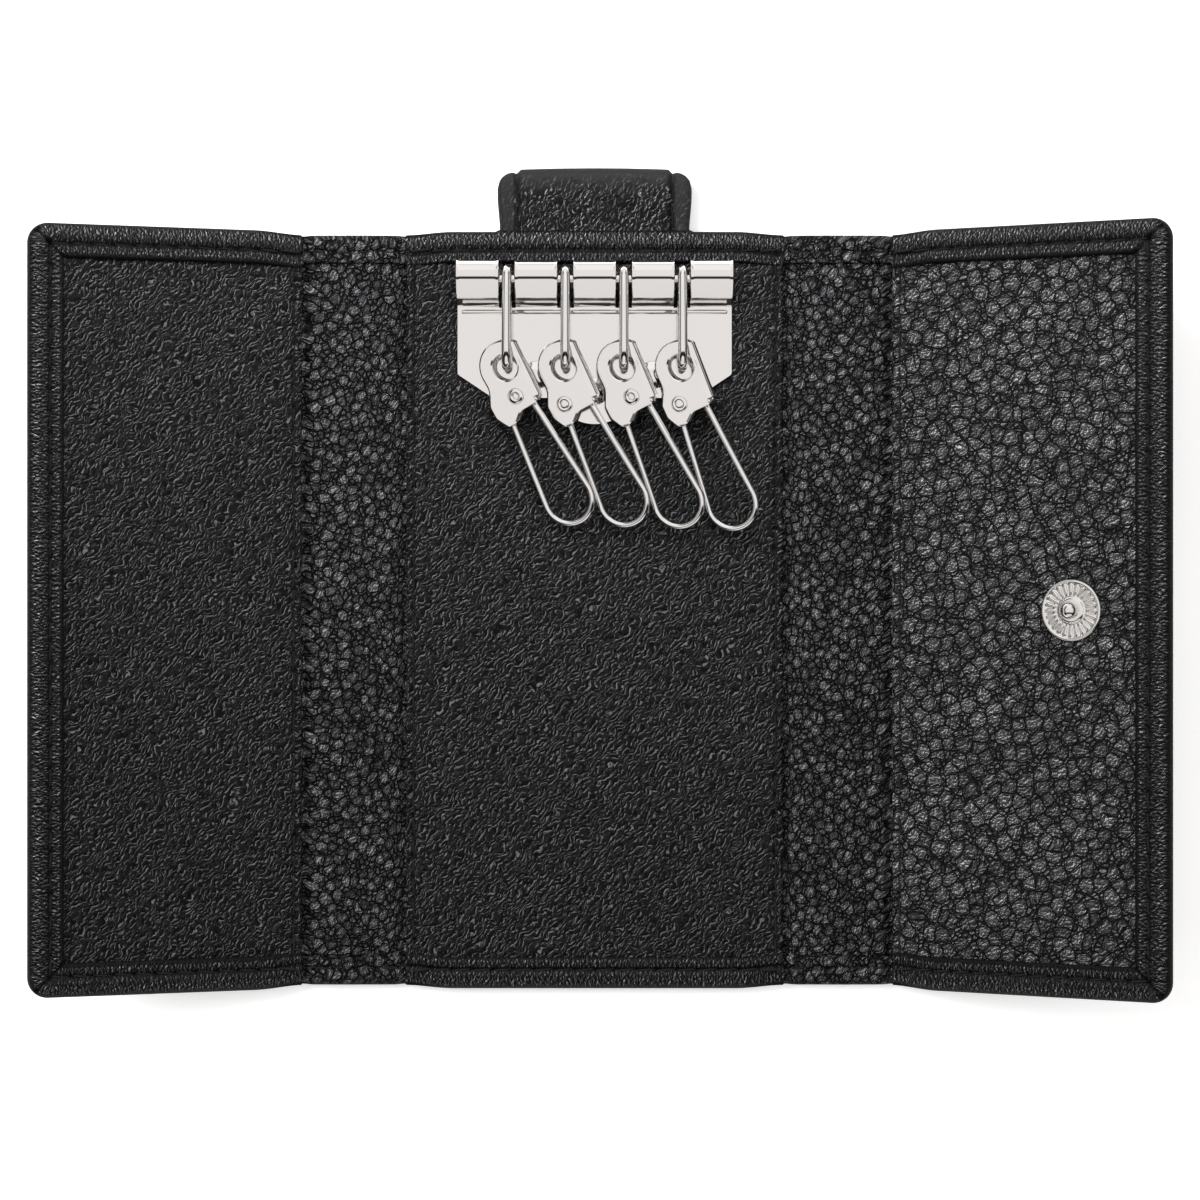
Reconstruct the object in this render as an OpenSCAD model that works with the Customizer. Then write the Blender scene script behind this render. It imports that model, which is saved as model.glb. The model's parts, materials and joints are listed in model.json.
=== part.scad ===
// Trifold leather key case, lying open with its inner side up.
// Origin: middle of the centre panel's underside. +X across the three panels, +Y to the
// edge that carries the hooks, +Z out of the inner side. Millimetres and degrees.

/* [Case] */
// Height of the case along its folds
case_h = 113; // [100:1:130]
// Width of the centre panel between its two folds
centre_w = 57; // [52:0.5:64]
// Width of the left gusset
left_spine_w = 15; // [13:0.2:18]
// Width of the right gusset, which folds over the left flap
right_spine_w = 15.8; // [14:0.2:19]
// Width of the left flap, the one that folds in first
left_flap_w = 41; // [38:0.5:44]
// Width of the right flap, the one that closes on top
right_flap_w = 43; // [40:0.5:46]
// How far the left flap stands up as the case lies open
left_tilt = 18; // [14:1:30]
// How far the right flap stands up as the case lies open
right_tilt = 26; // [10:1:35]
// How far the closed flaps slope down towards the right
close_lean = 5; // [4:0.5:7]
// Radius of the flaps' outer corners
corner_r = 3; // [2.2:0.1:5]

/* [Leather] */
// Thickness of the outer leather
cover_t = 1; // [0.8:0.1:1.2]
// Thickness of the stiffening board
board_t = 1; // [0.8:0.1:1.4]
// Thickness of the inner leather
lining_t = 1; // [0.8:0.1:1.2]
// Thickness of the turned-over hem
hem_t = 0.8; // [0.6:0.1:1]
// Width of the hem on the flaps
hem_w = 4.8; // [4:0.1:6]
// Width of the hem on the centre panel
centre_hem_w = 4.4; // [3.6:0.1:4.8]
// Width of the hem on the gussets
spine_hem_w = 4; // [3:0.1:5]
// How far the gussets are drawn in at each end
spine_draw = 0.5; // [0.2:0.1:1]
// Gap that a fold leaves beside the inner leather
fold_gap = 0.4; // [0.3:0.05:0.6]

/* [Pull tab] */
// Width of the doubled tab
tab_w = 29; // [20:1:34]
// How far the tab stands out past the case's edge
tab_reach = 9.5; // [7:0.5:14]
// Thickness of the tab at its folded end
tab_fold_t = 3.4; // [2.8:0.1:3.8]
// Radius of the tab's outer corners
tab_corner_r = 2.3; // [1.5:0.1:4]
// Length of tab that is sewn into the case's edge
tab_root = 3.9; // [3:0.1:4.2]

/* [Hook plate] */
// Width of the plate and its barrels
plate_w = 40.8; // [40:0.2:46]
// Thickness of the sheet
plate_t = 0.6; // [0.5:0.05:0.8]
// Diameter of the rod that the links turn on
rod_d = 1.2; // [1:0.1:1.3]
// Inner radius of the barrels that hold the rod
barrel_r = 1.4; // [1.3:0.05:1.6]
// Height of the barrels' axis over the inner leather
rod_rise = 4; // [3.8:0.1:4.6]
// Distance from the case's edge to the barrels' axis
barrel_inset = 6.8; // [6.6:0.1:9]
// Distance from one hook to the next
hook_pitch = 8.65; // [8.65:0.05:9.2]
// Width of the gap between two barrels
slot_w = 2.45; // [2.2:0.05:2.8]
// Length from the barrels' axis to the plate's straight lower edge
plate_drop = 18.1; // [16:0.1:22]
// Length of the plate's two straight sides below the barrels' axis
plate_side = 14.6; // [12:0.1:15]
// Radius of the rounded lobe below the plate
lobe_r = 6.5; // [5:0.1:8]
// Diameter of the rivet heads that hold the plate
plate_rivet_head_d = 4.2; // [3.4:0.1:5]
// Diameter of those rivets' shanks
plate_rivet_d = 2; // [1.6:0.1:2.4]

/* [Links] */
// Wire diameter of a link
link_wire_d = 1.4; // [1.2:0.1:1.6]
// Distance from the rod's axis to the middle of a hook's eye
link_len = 12.95; // [12.65:0.05:14.25]
// Inner radius of a link's bend at the rod
link_rod_r = 0.75; // [0.75:0.05:0.95]
// Inner radius of a link's bend in the hook's eye
link_eye_r = 2.2; // [2.2:0.05:2.4]
// How far a link rises from the rod to the eye
link_tilt = 2; // [1:0.5:4]

/* [Hooks] */
// Diameter of the eye
eye_d = 4; // [3.9:0.05:4.3]
// Radius of the round end about the eye
eye_end_r = 4; // [3.8:0.05:4.1]
// Thickness of the body's sheet
leaf_t = 0.4; // [0.3:0.05:0.45]
// Gap between the body's two leaves
leaf_gap = 1.2; // [1.15:0.05:1.3]
// Distance from the eye to the body's folded side
side_reach = 3.15; // [3:0.05:3.3]
// Distance from the eye to the bulge of the other side
bulge_reach = 4.9; // [4.4:0.1:5]
// Distance from the eye to the tip of the neck
neck_reach = 8.4; // [8:0.1:9]
// Distance from the eye to the shoulder where the wire turns
shoulder_reach = 6.9; // [6.6:0.1:7.2]
// Wire diameter of the key loop
loop_wire_d = 0.9; // [0.8:0.05:1]
// Radius of the loop's round end, to the middle of the wire
loop_r = 3.7; // [3.4:0.05:3.8]
// Distance from the eye to the middle of the loop's round end
loop_reach = 21.6; // [18:0.2:24]
// How far each hook is rolled, so that it lies over the next
hook_roll = 22; // [20:1:24]
// How far each hook slopes down to its loop
hook_slope = 4; // [3:0.5:5]
// Diameter of the rivet that joins the leaves
leaf_rivet_d = 1.3; // [1:0.1:1.6]
// Diameter of that rivet's head
leaf_rivet_head_d = 2.5; // [2:0.1:2.8]

/* [Snap] */
// Place of the snap's stud across the right flap, as a share of the flap's width
stud_share = 0.658; // [0.6:0.01:0.72]
// Diameter of the stud's disc
stud_disc_d = 9; // [8:0.1:10]
// Thickness of the stud's disc
stud_disc_t = 0.5; // [0.4:0.05:0.6]
// Diameter of the stud's ball
ball_d = 2.6; // [2.4:0.05:2.7]
// Height of the ball's middle over the inner leather
ball_rise = 1.35; // [1.3:0.05:1.5]
// Diameter of the socket
socket_d = 9.2; // [8.4:0.1:10]
// Height of the socket over the outer leather
socket_h = 2; // [1.9:0.05:2.1]
// Diameter of the cap on the case's outer side
cap_d = 12; // [10:0.5:13]
// Height of that cap
cap_h = 1.3; // [1.1:0.1:1.5]

/* [Hidden] */
// Each hook's lean in its own plane, from the left hook to the right one
hook_leans = [26, 24.5, 23, 21];
HOOKS = [1:len(hook_leans)];
$fn = 48;

// Gap between the leather of two parts that fold against each other
seam_gap = 0.1;
// Running gap round pins and shanks
fit_gap = 0.05;
// Overrun of every cut
cut = 1;

// Heights of the stack: the folds turn about the gussets' inner face
fold_z = cover_t + lining_t;
lining_z = cover_t + board_t;
inner_z = lining_z + lining_t;
rim_t = inner_z + hem_t;
spine_rim_t = fold_z + hem_t;
spine_h = case_h - 2 * spine_draw;

fold_x = centre_w / 2;
left_fold_x = fold_x + left_spine_w;
right_fold_x = fold_x + right_spine_w;

// Closed, both flaps lie parallel, so the socket's place follows from the stud's
stud_reach = right_flap_w * stud_share;
fold_lift = right_spine_w - left_spine_w;
socket_reach = (centre_w - stud_reach * cos(close_lean)) * cos(close_lean)
    - (fold_lift + stud_reach * sin(close_lean)) * sin(close_lean);

barrel_y = case_h / 2 - barrel_inset;
curl_outer_r = barrel_r + plate_t;
// The rod rests against the front of the barrels
rod_y = barrel_y - barrel_r + rod_d / 2 + fit_gap;
rod_z = inner_z + rod_rise;
eye_y = rod_y - link_len * cos(link_tilt);
eye_z = rod_z + link_len * sin(link_tilt);
leaf_stack = leaf_gap + 2 * leaf_t;

function hook_x(i) = (i - (len(hook_leans) + 1) / 2) * hook_pitch;

LEATHER = [0.09, 0.09, 0.1];
PEBBLE = [0.16, 0.16, 0.17];
BOARD = [0.45, 0.4, 0.33];
STEEL = [0.8, 0.8, 0.82];
WIRE = [0.88, 0.88, 0.9];

// An arc of points about a centre
function arc(c, r, from, to, steps = 8) =
    [for (k = [0:steps]) c + r * [cos(from + (to - from) * k / steps), sin(from + (to - from) * k / steps)]];

// One rounded corner of an outline: the corner at b, between its neighbours a and c
function unit(v) = v / norm(v);
function round_corner(a, b, c, r, steps = 5) =
    let (u = unit(a - b), w = unit(c - b), half = acos(u * w) / 2, mid = b + unit(u + w) * r / sin(half),
         p = b + u * r / tan(half) - mid, q = b + w * r / tan(half) - mid,
         from = atan2(p[1], p[0]), turn = atan2(p[0] * q[1] - p[1] * q[0], p * q))
    arc(mid, r, from, from + turn, steps);

// An outline whose corners [x, y, radius] are rounded
function rounded(pts) = [for (k = [0:len(pts) - 1])
    let (n = len(pts), b = pts[k], a = pts[(k + n - 1) % n], c = pts[(k + 1) % n])
    each b[2] > 0 ? round_corner([a[0], a[1]], [b[0], b[1]], [c[0], c[1]], b[2]) : [[b[0], b[1]]]];

// A strip of sheet whose one face follows a path, with the sheet on the path's right
function strip(path, t) = concat(path, [for (k = [len(path) - 1:-1:0])
    let (d0 = unit(path[max(k, 1)] - path[max(k, 1) - 1]),
         d1 = unit(path[min(k + 1, len(path) - 1)] - path[min(k, len(path) - 2)]),
         m = unit([d0[1] + d1[1], -d0[0] - d1[0]]))
    path[k] + m * t / (m * [d1[1], -d1[0]])]);

// Leather shells

// Section across a panel with a half-round rim at each end
module rim_section(h, t) {
    square([h - t, t], center = true);
    for (s = [-1, 1]) translate([s * (h - t) / 2, 0]) circle(d = t);
}

// Solid panel along +X from a fold, its two long edges rolled
module rolled_panel(from, to, h, t) {
    translate([from, 0, t / 2]) rotate([90, 0, 90]) linear_extrude(to - from) rim_section(h, t);
}

// Space under the hem, where the board and the inner leather lie
module hem_pocket(from, to, h, t) {
    translate([from, -(h - t) / 2, cover_t]) cube([to - from, h - t, t - cover_t - hem_t]);
}

// Slope that draws a hem down towards a fold at x = 0
module hem_slope(run, gap, high, h) {
    rotate([90, 0, 0]) linear_extrude(h + 2 * cut, center = true)
        polygon([[-cut, fold_z], [gap, fold_z], [run, high], [run, high + cut], [-cut, high + cut]]);
}

// Cover of one flap: rolled on three sides, open at its fold
module flap_cover(w) {
    plan = rounded([[seam_gap, -case_h / 2, 0], [w, -case_h / 2, corner_r],
                    [w, case_h / 2, corner_r], [seam_gap, case_h / 2, 0]]);
    difference() {
        intersection() {
            rolled_panel(seam_gap, w, case_h, rim_t);
            translate([0, 0, rim_t / 2]) rotate([90, 0, 0]) linear_extrude(case_h, center = true) {
                translate([0, -rim_t / 2]) square([w - rim_t / 2, rim_t]);
                translate([w - rim_t / 2, 0]) circle(d = rim_t);
            }
            linear_extrude(rim_t) polygon(plan);
        }
        hem_pocket(-cut, w - rim_t / 2, case_h, rim_t);
        translate([-cut, -case_h / 2 + hem_w, cover_t])
            cube([w - hem_w + cut, case_h - 2 * hem_w, rim_t]);
        hem_slope(hem_t + fold_gap, fold_gap, rim_t, case_h);
    }
}

// Cover of one gusset: rolled at its two ends, its hem kept off both folds
module spine_cover(w) {
    hem_off = rim_t - fold_z - seam_gap;
    difference() {
        rolled_panel(seam_gap, w - seam_gap, spine_h, spine_rim_t);
        hem_pocket(-cut, w + cut, spine_h, spine_rim_t);
        translate([-cut, -spine_h / 2 + spine_hem_w, cover_t])
            cube([w + 2 * cut, spine_h - 2 * spine_hem_w, spine_rim_t]);
        for (side = [0, 1]) translate([side * w, 0, 0]) mirror([side, 0, 0])
            hem_slope(hem_off + hem_t, hem_off, spine_rim_t, spine_h);
    }
}

// Inner leather with its fold-side edges rounded
module lining_sheet(from, to, h, z) {
    translate([from, -h / 2, z]) {
        translate([lining_t / 2, 0, 0]) cube([to - from - lining_t, h, lining_t]);
        for (x = [lining_t / 2, to - from - lining_t / 2])
            translate([x, 0, lining_t / 2]) rotate([-90, 0, 0]) cylinder(d = lining_t, h = h);
    }
}

// A flap's inner leather: rounded at the fold, tucked under the rim elsewhere
module flap_lining(w) {
    lining_sheet(fold_gap, w - rim_t / 2, case_h - rim_t, lining_z);
}

module flap_board(w) {
    translate([fold_gap, -(case_h - rim_t) / 2, cover_t])
        cube([w - rim_t / 2 - fold_gap, case_h - rim_t, board_t]);
}

// Places that the moving pieces are drawn in

module left_spine_place() { translate([-fold_x, 0, 0]) mirror([1, 0, 0]) children(); }
module right_spine_place() { translate([fold_x, 0, 0]) children(); }
module tilted(tilt) { translate([0, 0, fold_z]) rotate([0, -tilt, 0]) translate([0, 0, -fold_z]) children(); }
module left_flap_place() { translate([-left_fold_x, 0, 0]) mirror([1, 0, 0]) tilted(left_tilt) children(); }
module right_flap_place() { translate([right_fold_x, 0, 0]) tilted(right_tilt) children(); }

// A hook's own frame: eye at the origin, loop towards -Y, folded side at +X
module hook_place(i) {
    translate([hook_x(i), eye_y, eye_z]) rotate([0, 0, hook_leans[i - 1]])
        rotate([hook_slope, 0, 0]) rotate([0, -hook_roll, 0]) children();
}

// Centre panel

module tab_slot(gap) {
    translate([-tab_w / 2 - gap, case_h / 2 - rim_t / 2 - (tab_root - rim_t / 2) - gap, cover_t])
        cube([tab_w + 2 * gap, tab_root + cut + gap, board_t + lining_t]);
}

module centre_cover() {
    span = fold_x - seam_gap;
    color(LEATHER) difference() {
        rolled_panel(-span, span, case_h, rim_t);
        hem_pocket(-fold_x, fold_x, case_h, rim_t);
        translate([-fold_x, -case_h / 2 + centre_hem_w, cover_t])
            cube([centre_w, case_h - 2 * centre_hem_w, rim_t]);
        for (side = [0, 1]) mirror([side, 0, 0]) translate([-fold_x, 0, 0])
            hem_slope(hem_t + fold_gap, fold_gap, rim_t, case_h);
        tab_slot(0);
    }
}

module centre_board() {
    span = fold_x - fold_gap;
    color(BOARD) difference() {
        translate([-span, -(case_h - rim_t) / 2, cover_t]) cube([2 * span, case_h - rim_t, board_t]);
        tab_slot(fit_gap);
        at_plate_rivets(cover_t - cut) cylinder(d = plate_rivet_d + 2 * fit_gap, h = board_t + 2 * cut);
        at_plate_rivets(cover_t - cut) cylinder(d = washer_d + 2 * fit_gap, h = washer_t + cut);
    }
}

module centre_lining() {
    span = fold_x - fold_gap;
    color(LEATHER) difference() {
        lining_sheet(-span, span, case_h - rim_t, lining_z);
        tab_slot(fit_gap);
        at_plate_rivets(lining_z - cut) cylinder(d = plate_rivet_d + 2 * fit_gap, h = lining_t + 2 * cut);
    }
}

// Doubled strap, folded at its free end and sewn into the case's edge
tab_mid_z = cover_t + (board_t + lining_t) / 2;
tab_fold_y = case_h / 2 + tab_reach - tab_fold_t / 2;
tab_root_y = case_h / 2 - tab_root;
tab_core_r = tab_fold_t / 2 - (board_t + lining_t) / 2;
module pull_tab() {
    flat = (board_t + lining_t) / 2;
    spread = asin((tab_fold_t / 2 - flat) / (tab_fold_y - case_h / 2));
    color(LEATHER) intersection() {
        rotate([90, 0, 90]) linear_extrude(tab_w, center = true) difference() {
            polygon(concat([[tab_root_y, tab_mid_z - flat], [case_h / 2, tab_mid_z - flat]],
                           arc([tab_fold_y, tab_mid_z], tab_fold_t / 2, -90 - spread, 90 + spread, 16),
                           [[case_h / 2, tab_mid_z + flat], [tab_root_y, tab_mid_z + flat]]));
            polygon(concat([[case_h / 2 + flat, tab_mid_z]],
                           arc([tab_fold_y, tab_mid_z], tab_core_r, -90 - spread, 90 + spread, 12)));
        }
        linear_extrude(rim_t) polygon(rounded([[-tab_w / 2, tab_root_y, 0], [tab_w / 2, tab_root_y, 0],
            [tab_w / 2, case_h / 2 + tab_reach, tab_corner_r],
            [-tab_w / 2, case_h / 2 + tab_reach, tab_corner_r]]));
    }
}

// Hook plate

// The sheet rises in a step, slopes up and curls over the rod
step_foot = curl_outer_r * 2.25;
step_head = curl_outer_r * 1.75;
bead_r = 0.4;
slope_turn = asin(curl_outer_r / step_head);
plate_top = inner_z + plate_t;
step_path = [[barrel_y - step_foot - plate_t, plate_top], [barrel_y - step_foot, plate_top],
             [barrel_y - step_head, rod_z],
             [barrel_y - curl_outer_r * sin(slope_turn), rod_z + curl_outer_r * cos(slope_turn)]];
washer_d = plate_rivet_head_d * 1.15;
washer_t = board_t / 2;
// Distance of the side rivets and of the middle one from the plate's straight lower edge
plate_rivet_inset = 3.4;
mid_rivet_inset = 1;
module at_plate_rivets(z) {
    for (k = [-1, 0, 1])
        translate([k * hook_pitch, barrel_y - plate_drop + (k == 0 ? mid_rivet_inset : plate_rivet_inset), z])
            children();
}

module plate_outline() {
    chamfer = plate_drop - plate_side;
    polygon(rounded([[-plate_w / 2, barrel_y - step_foot, 0], [-plate_w / 2, barrel_y - plate_side, plate_t],
        [-plate_w / 2 + chamfer * 1.5, barrel_y - plate_drop, plate_t],
        [plate_w / 2 - chamfer * 1.5, barrel_y - plate_drop, plate_t],
        [plate_w / 2, barrel_y - plate_side, plate_t], [plate_w / 2, barrel_y - step_foot, 0]]));
    translate([0, barrel_y - plate_drop + lobe_r * 0.4]) circle(r = lobe_r);
}

module hook_plate() {
    color(STEEL) difference() {
        union() {
            translate([0, 0, inner_z]) linear_extrude(plate_t) plate_outline();
            rotate([90, 0, 90]) linear_extrude(plate_w, center = true) {
                polygon(strip(step_path, plate_t));
                translate([barrel_y, rod_z]) difference() {
                    circle(r = curl_outer_r);
                    circle(r = barrel_r);
                    rotate(210) square([curl_outer_r + cut, plate_t]);
                }
            }
            translate([0, barrel_y - step_foot - 2 * bead_r, plate_top - bead_r / 2]) rotate([0, 90, 0])
                cylinder(r = bead_r, h = plate_w - 4 * bead_r, center = true);
        }
        for (i = HOOKS) translate([hook_x(i) - slot_w / 2, barrel_y - step_foot - bead_r / 2, inner_z - cut])
            cube([slot_w, step_foot + curl_outer_r + cut, rod_rise + curl_outer_r + 2 * cut]);
        at_plate_rivets(inner_z - cut) cylinder(d = plate_rivet_d + 2 * fit_gap, h = plate_t + 2 * cut);
    }
}

module hook_rod() {
    color(STEEL) translate([0, rod_y, rod_z]) rotate([0, 90, 0])
        cylinder(d = rod_d, h = plate_w, center = true);
}

// Domed heads on the plate, shanks down to the washers
plate_rivet_head_h = 0.6;
module plate_rivets() {
    ball_r = (pow(plate_rivet_head_d / 2, 2) + pow(plate_rivet_head_h, 2)) / (2 * plate_rivet_head_h);
    color(WIRE) at_plate_rivets(0) {
        translate([0, 0, plate_top]) rotate_extrude() polygon(concat([[0, 0]],
            arc([0, plate_rivet_head_h - ball_r], ball_r, 90 - asin(plate_rivet_head_d / (2 * ball_r)), 90, 6)));
        translate([0, 0, cover_t]) cylinder(d = plate_rivet_d, h = plate_top - cover_t);
    }
}

module rivet_washers() {
    color(STEEL) at_plate_rivets(cover_t) difference() {
        cylinder(d = washer_d, h = washer_t);
        translate([0, 0, -cut]) cylinder(d = plate_rivet_d + 2 * fit_gap, h = washer_t + 2 * cut);
    }
}

// Gussets

module left_spine_cover() { color(PEBBLE) left_spine_place() spine_cover(left_spine_w); }
module right_spine_cover() { color(PEBBLE) right_spine_place() spine_cover(right_spine_w); }
module spine_lining(w) { lining_sheet(fold_gap, w - fold_gap, spine_h - spine_rim_t, cover_t); }
module left_spine_lining() { color(PEBBLE) left_spine_place() spine_lining(left_spine_w); }
module right_spine_lining() { color(PEBBLE) right_spine_place() spine_lining(right_spine_w); }

// Left flap with the snap's socket on its outer side

post_d = 4;
post_bore_d = 3;
post_flange_d = 8;
post_flange_t = board_t * 0.4;
module left_flap_cover() {
    color(LEATHER) left_flap_place() difference() {
        flap_cover(left_flap_w);
        translate([socket_reach, 0, -cut]) cylinder(d = post_d + 2 * fit_gap, h = cover_t + 2 * cut);
    }
}

module left_flap_board() {
    color(BOARD) left_flap_place() difference() {
        flap_board(left_flap_w);
        translate([socket_reach, 0, 0]) cylinder(d = post_d + 2 * fit_gap, h = lining_z + cut);
        translate([socket_reach, 0, lining_z - post_flange_t])
            cylinder(d = post_flange_d + 2 * fit_gap, h = post_flange_t + cut);
    }
}

module left_flap_lining() { color(LEATHER) left_flap_place() flap_lining(left_flap_w); }

// Flange under the inner leather, and a tube through to the socket's base
socket_base_t = 0.5;
module socket_post() {
    color(STEEL) left_flap_place() translate([socket_reach, 0, 0]) difference() {
        union() {
            translate([0, 0, lining_z - post_flange_t]) cylinder(d = post_flange_d, h = post_flange_t);
            translate([0, 0, -socket_base_t]) cylinder(d = post_d, h = lining_z + socket_base_t);
        }
        translate([0, 0, -socket_base_t - cut])
            cylinder(d = post_bore_d, h = lining_z + socket_base_t - post_flange_t + cut);
    }
}

// Pressed ring: a flat base, a hub with the spring's groove, and a rounded mouth
hub_d = socket_d * 0.66;
mouth_d = 3.1;
groove_d = 4.3;
groove_h = 0.6;
groove_z = 1.3;
module snap_socket() {
    edge_r = socket_base_t / 2;
    color(STEEL) left_flap_place() translate([socket_reach, 0, 0]) mirror([0, 0, 1]) difference() {
        rotate_extrude() {
            square([socket_d / 2 - edge_r, socket_base_t]);
            translate([socket_d / 2 - edge_r, edge_r]) circle(r = edge_r);
            square([hub_d / 2 - edge_r, socket_h]);
            square([hub_d / 2, socket_h - edge_r]);
            translate([hub_d / 2 - edge_r, socket_h - edge_r]) circle(r = edge_r);
        }
        translate([0, 0, -cut]) cylinder(d = post_d + 2 * fit_gap, h = socket_base_t + cut);
        translate([0, 0, -cut]) cylinder(d = mouth_d, h = socket_h + 2 * cut);
        translate([0, 0, groove_z]) cylinder(d = groove_d, h = groove_h);
    }
}

// Split ring that grips the stud's ball
spring_wire_d = 0.45;
module socket_spring() {
    ring_r = groove_d / 2 - fit_gap - spring_wire_d / 2;
    color(WIRE) left_flap_place() translate([socket_reach, 0, -groove_z - groove_h / 2])
        rotate_extrude(angle = 330) translate([ring_r, 0]) circle(d = spring_wire_d);
}

// Right flap with the snap's stud on its inner side

shank_d = 2.4;
module right_flap_cover() {
    color(PEBBLE) right_flap_place() difference() {
        flap_cover(right_flap_w);
        translate([stud_reach, 0, -cut]) cylinder(d = shank_d + 2 * fit_gap, h = cover_t + 2 * cut);
    }
}

module right_flap_board() {
    color(BOARD) right_flap_place() difference() {
        flap_board(right_flap_w);
        translate([stud_reach, 0, 0]) cylinder(d = shank_d + 2 * fit_gap, h = lining_z + cut);
    }
}

module right_flap_lining() {
    color(PEBBLE) right_flap_place() difference() {
        flap_lining(right_flap_w);
        translate([stud_reach, 0, 0]) cylinder(d = shank_d + 2 * fit_gap, h = inner_z + cut);
    }
}

// Disc with a ribbed ring, a raised collar, and a ball on a short neck
collar_d = 3.8;
collar_h = 0.65;
neck_d = 1.8;
stud_ribs = 24;
rib_h = 0.12;
rib_w = 0.3;
module snap_stud() {
    edge_r = stud_disc_t / 2;
    rib_from = collar_d / 2 + 2 * rib_w;
    color(STEEL) right_flap_place() translate([stud_reach, 0, inner_z]) difference() {
        union() {
            rotate_extrude() {
                square([stud_disc_d / 2 - edge_r, stud_disc_t]);
                translate([stud_disc_d / 2 - edge_r, edge_r]) circle(r = edge_r);
                square([collar_d / 2, collar_h]);
            }
            cylinder(d = neck_d, h = ball_rise);
            translate([0, 0, ball_rise]) sphere(d = ball_d);
            for (k = [1:stud_ribs]) rotate(k * 360 / stud_ribs) translate([rib_from, -rib_w / 2, 0])
                cube([stud_disc_d / 2 - 2 * edge_r - rib_from, rib_w, stud_disc_t + rib_h]);
        }
        translate([0, 0, -cut]) cylinder(d = shank_d + 2 * fit_gap, h = cut + stud_disc_t / 2);
    }
}

// Domed cap on the outer side, its shank riveted into the stud
module stud_cap() {
    dome_r = (pow(cap_d / 2, 2) + pow(cap_h, 2)) / (2 * cap_h);
    color(STEEL) right_flap_place() translate([stud_reach, 0, 0]) {
        rotate_extrude() polygon(concat([[0, 0]],
            arc([0, dome_r - cap_h], dome_r, -90, -90 + asin(cap_d / (2 * dome_r)), 6)));
        cylinder(d = shank_d, h = inner_z + stud_disc_t / 2 - fit_gap);
    }
}

// Bent wire: rings of points round a path that lies in one plane

function path_way(path, k, closed) =
    let (n = len(path), a = path[closed ? (k + n - 1) % n : max(k - 1, 0)],
         b = path[closed ? (k + 1) % n : min(k + 1, n - 1)])
    unit(b - a);

module bent_wire(path, d, sides, closed = false) {
    n = len(path);
    spans = closed ? n : n - 1;
    points = [for (k = [0:n - 1], s = [0:sides - 1])
        let (way = path_way(path, k, closed), a = (s + 0.5) * 360 / sides, side = d / 2 * cos(a))
        [path[k][0] + side * way[1], path[k][1] - side * way[0], d / 2 * sin(a)]];
    walls = [for (k = [0:spans - 1], s = [0:sides - 1])
        let (here = k * sides, next = (k + 1) % n * sides, t = (s + 1) % sides)
        [here + s, here + t, next + t, next + s]];
    ends = closed ? [] : [[for (s = [sides - 1:-1:0]) s], [for (s = [0:sides - 1]) (n - 1) * sides + s]];
    polyhedron(points, concat(walls, ends), convexity = 4);
}

// Links: a pear-shaped loop of wire, wider where it holds the hook

link_sides = 12;
function link_path() =
    let (rod_bend = link_rod_r + link_wire_d / 2, eye_bend = link_eye_r + link_wire_d / 2,
         reach = link_len - eye_bend, flare = asin((eye_bend - rod_bend) / reach))
    concat(arc([0, 0], rod_bend, flare, 180 - flare, 11),
           arc([0, -reach], eye_bend, 180 - flare, 360 + flare, 13));

module link(i) {
    color(WIRE) translate([hook_x(i), rod_y, rod_z]) rotate([-link_tilt, 0, 0]) rotate([0, 90, 0])
        bent_wire(link_path(), link_wire_d, link_sides, closed = true);
}

// Hooks: a sheet folded into two leaves, with a wire loop that turns out of its neck

module leaf_outline() {
    polygon(rounded([
        [side_reach, 0, 0],
        [side_reach, -shoulder_reach, leaf_gap],
        [side_reach * 0.2, -shoulder_reach - leaf_t, leaf_gap],
        [-bulge_reach * 0.42, -neck_reach, leaf_t],
        [-bulge_reach * 0.75, -neck_reach, leaf_gap],
        [-bulge_reach, -neck_reach * 0.68, leaf_gap],
        [-eye_end_r, -neck_reach * 0.24, eye_d],
        [-eye_end_r, 0, 0]]));
    intersection() {
        circle(r = eye_end_r);
        translate([-eye_end_r, 0]) square([eye_end_r + side_reach, eye_end_r]);
    }
}

// Hooks 1 and 3 have a tubular rivet near the eye's line, 2 and 4 a flat one nearer the neck
function tubular(i) = i % 2 == 1;
function rivet_at(i) = tubular(i) ? [-leaf_t, -neck_reach * 0.54] : [-bulge_reach * 0.45, -neck_reach * 0.6];

side_from = 1.2;
module hook_body(i) {
    color(STEEL) hook_place(i) difference() {
        union() {
            for (z = [-leaf_stack / 2, leaf_gap / 2]) translate([0, 0, z]) linear_extrude(leaf_t) leaf_outline();
            translate([side_reach - leaf_t, -shoulder_reach + leaf_gap, -leaf_stack / 2])
                cube([leaf_t, shoulder_reach - leaf_gap + side_from, leaf_stack]);
        }
        cylinder(d = eye_d, h = leaf_stack + 2 * cut, center = true);
        translate(rivet_at(i)) cylinder(d = leaf_rivet_d + 2 * fit_gap, h = leaf_stack + 2 * cut, center = true);
    }
}

leaf_rivet_head_t = 0.2;
module hook_rivet(i) {
    color(WIRE) hook_place(i) translate(rivet_at(i)) difference() {
        union() {
            cylinder(d = leaf_rivet_d, h = leaf_stack, center = true);
            for (s = [-1, 1]) translate([0, 0, s * (leaf_stack + leaf_rivet_head_t) / 2])
                cylinder(d = leaf_rivet_head_d, h = leaf_rivet_head_t, center = true);
        }
        if (tubular(i)) cylinder(d = leaf_rivet_d * 0.6, h = leaf_stack + 2 * cut, center = true);
    }
}

// The wire turns about its bent end, which stands between the leaves at the shoulder
gate_at = [side_reach * 0.4, -shoulder_reach * 0.9];
tip_at = [-bulge_reach * 0.62, -neck_reach + leaf_gap];
loop_at = [-leaf_t, -loop_reach];
loop_sides = 10;

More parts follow.
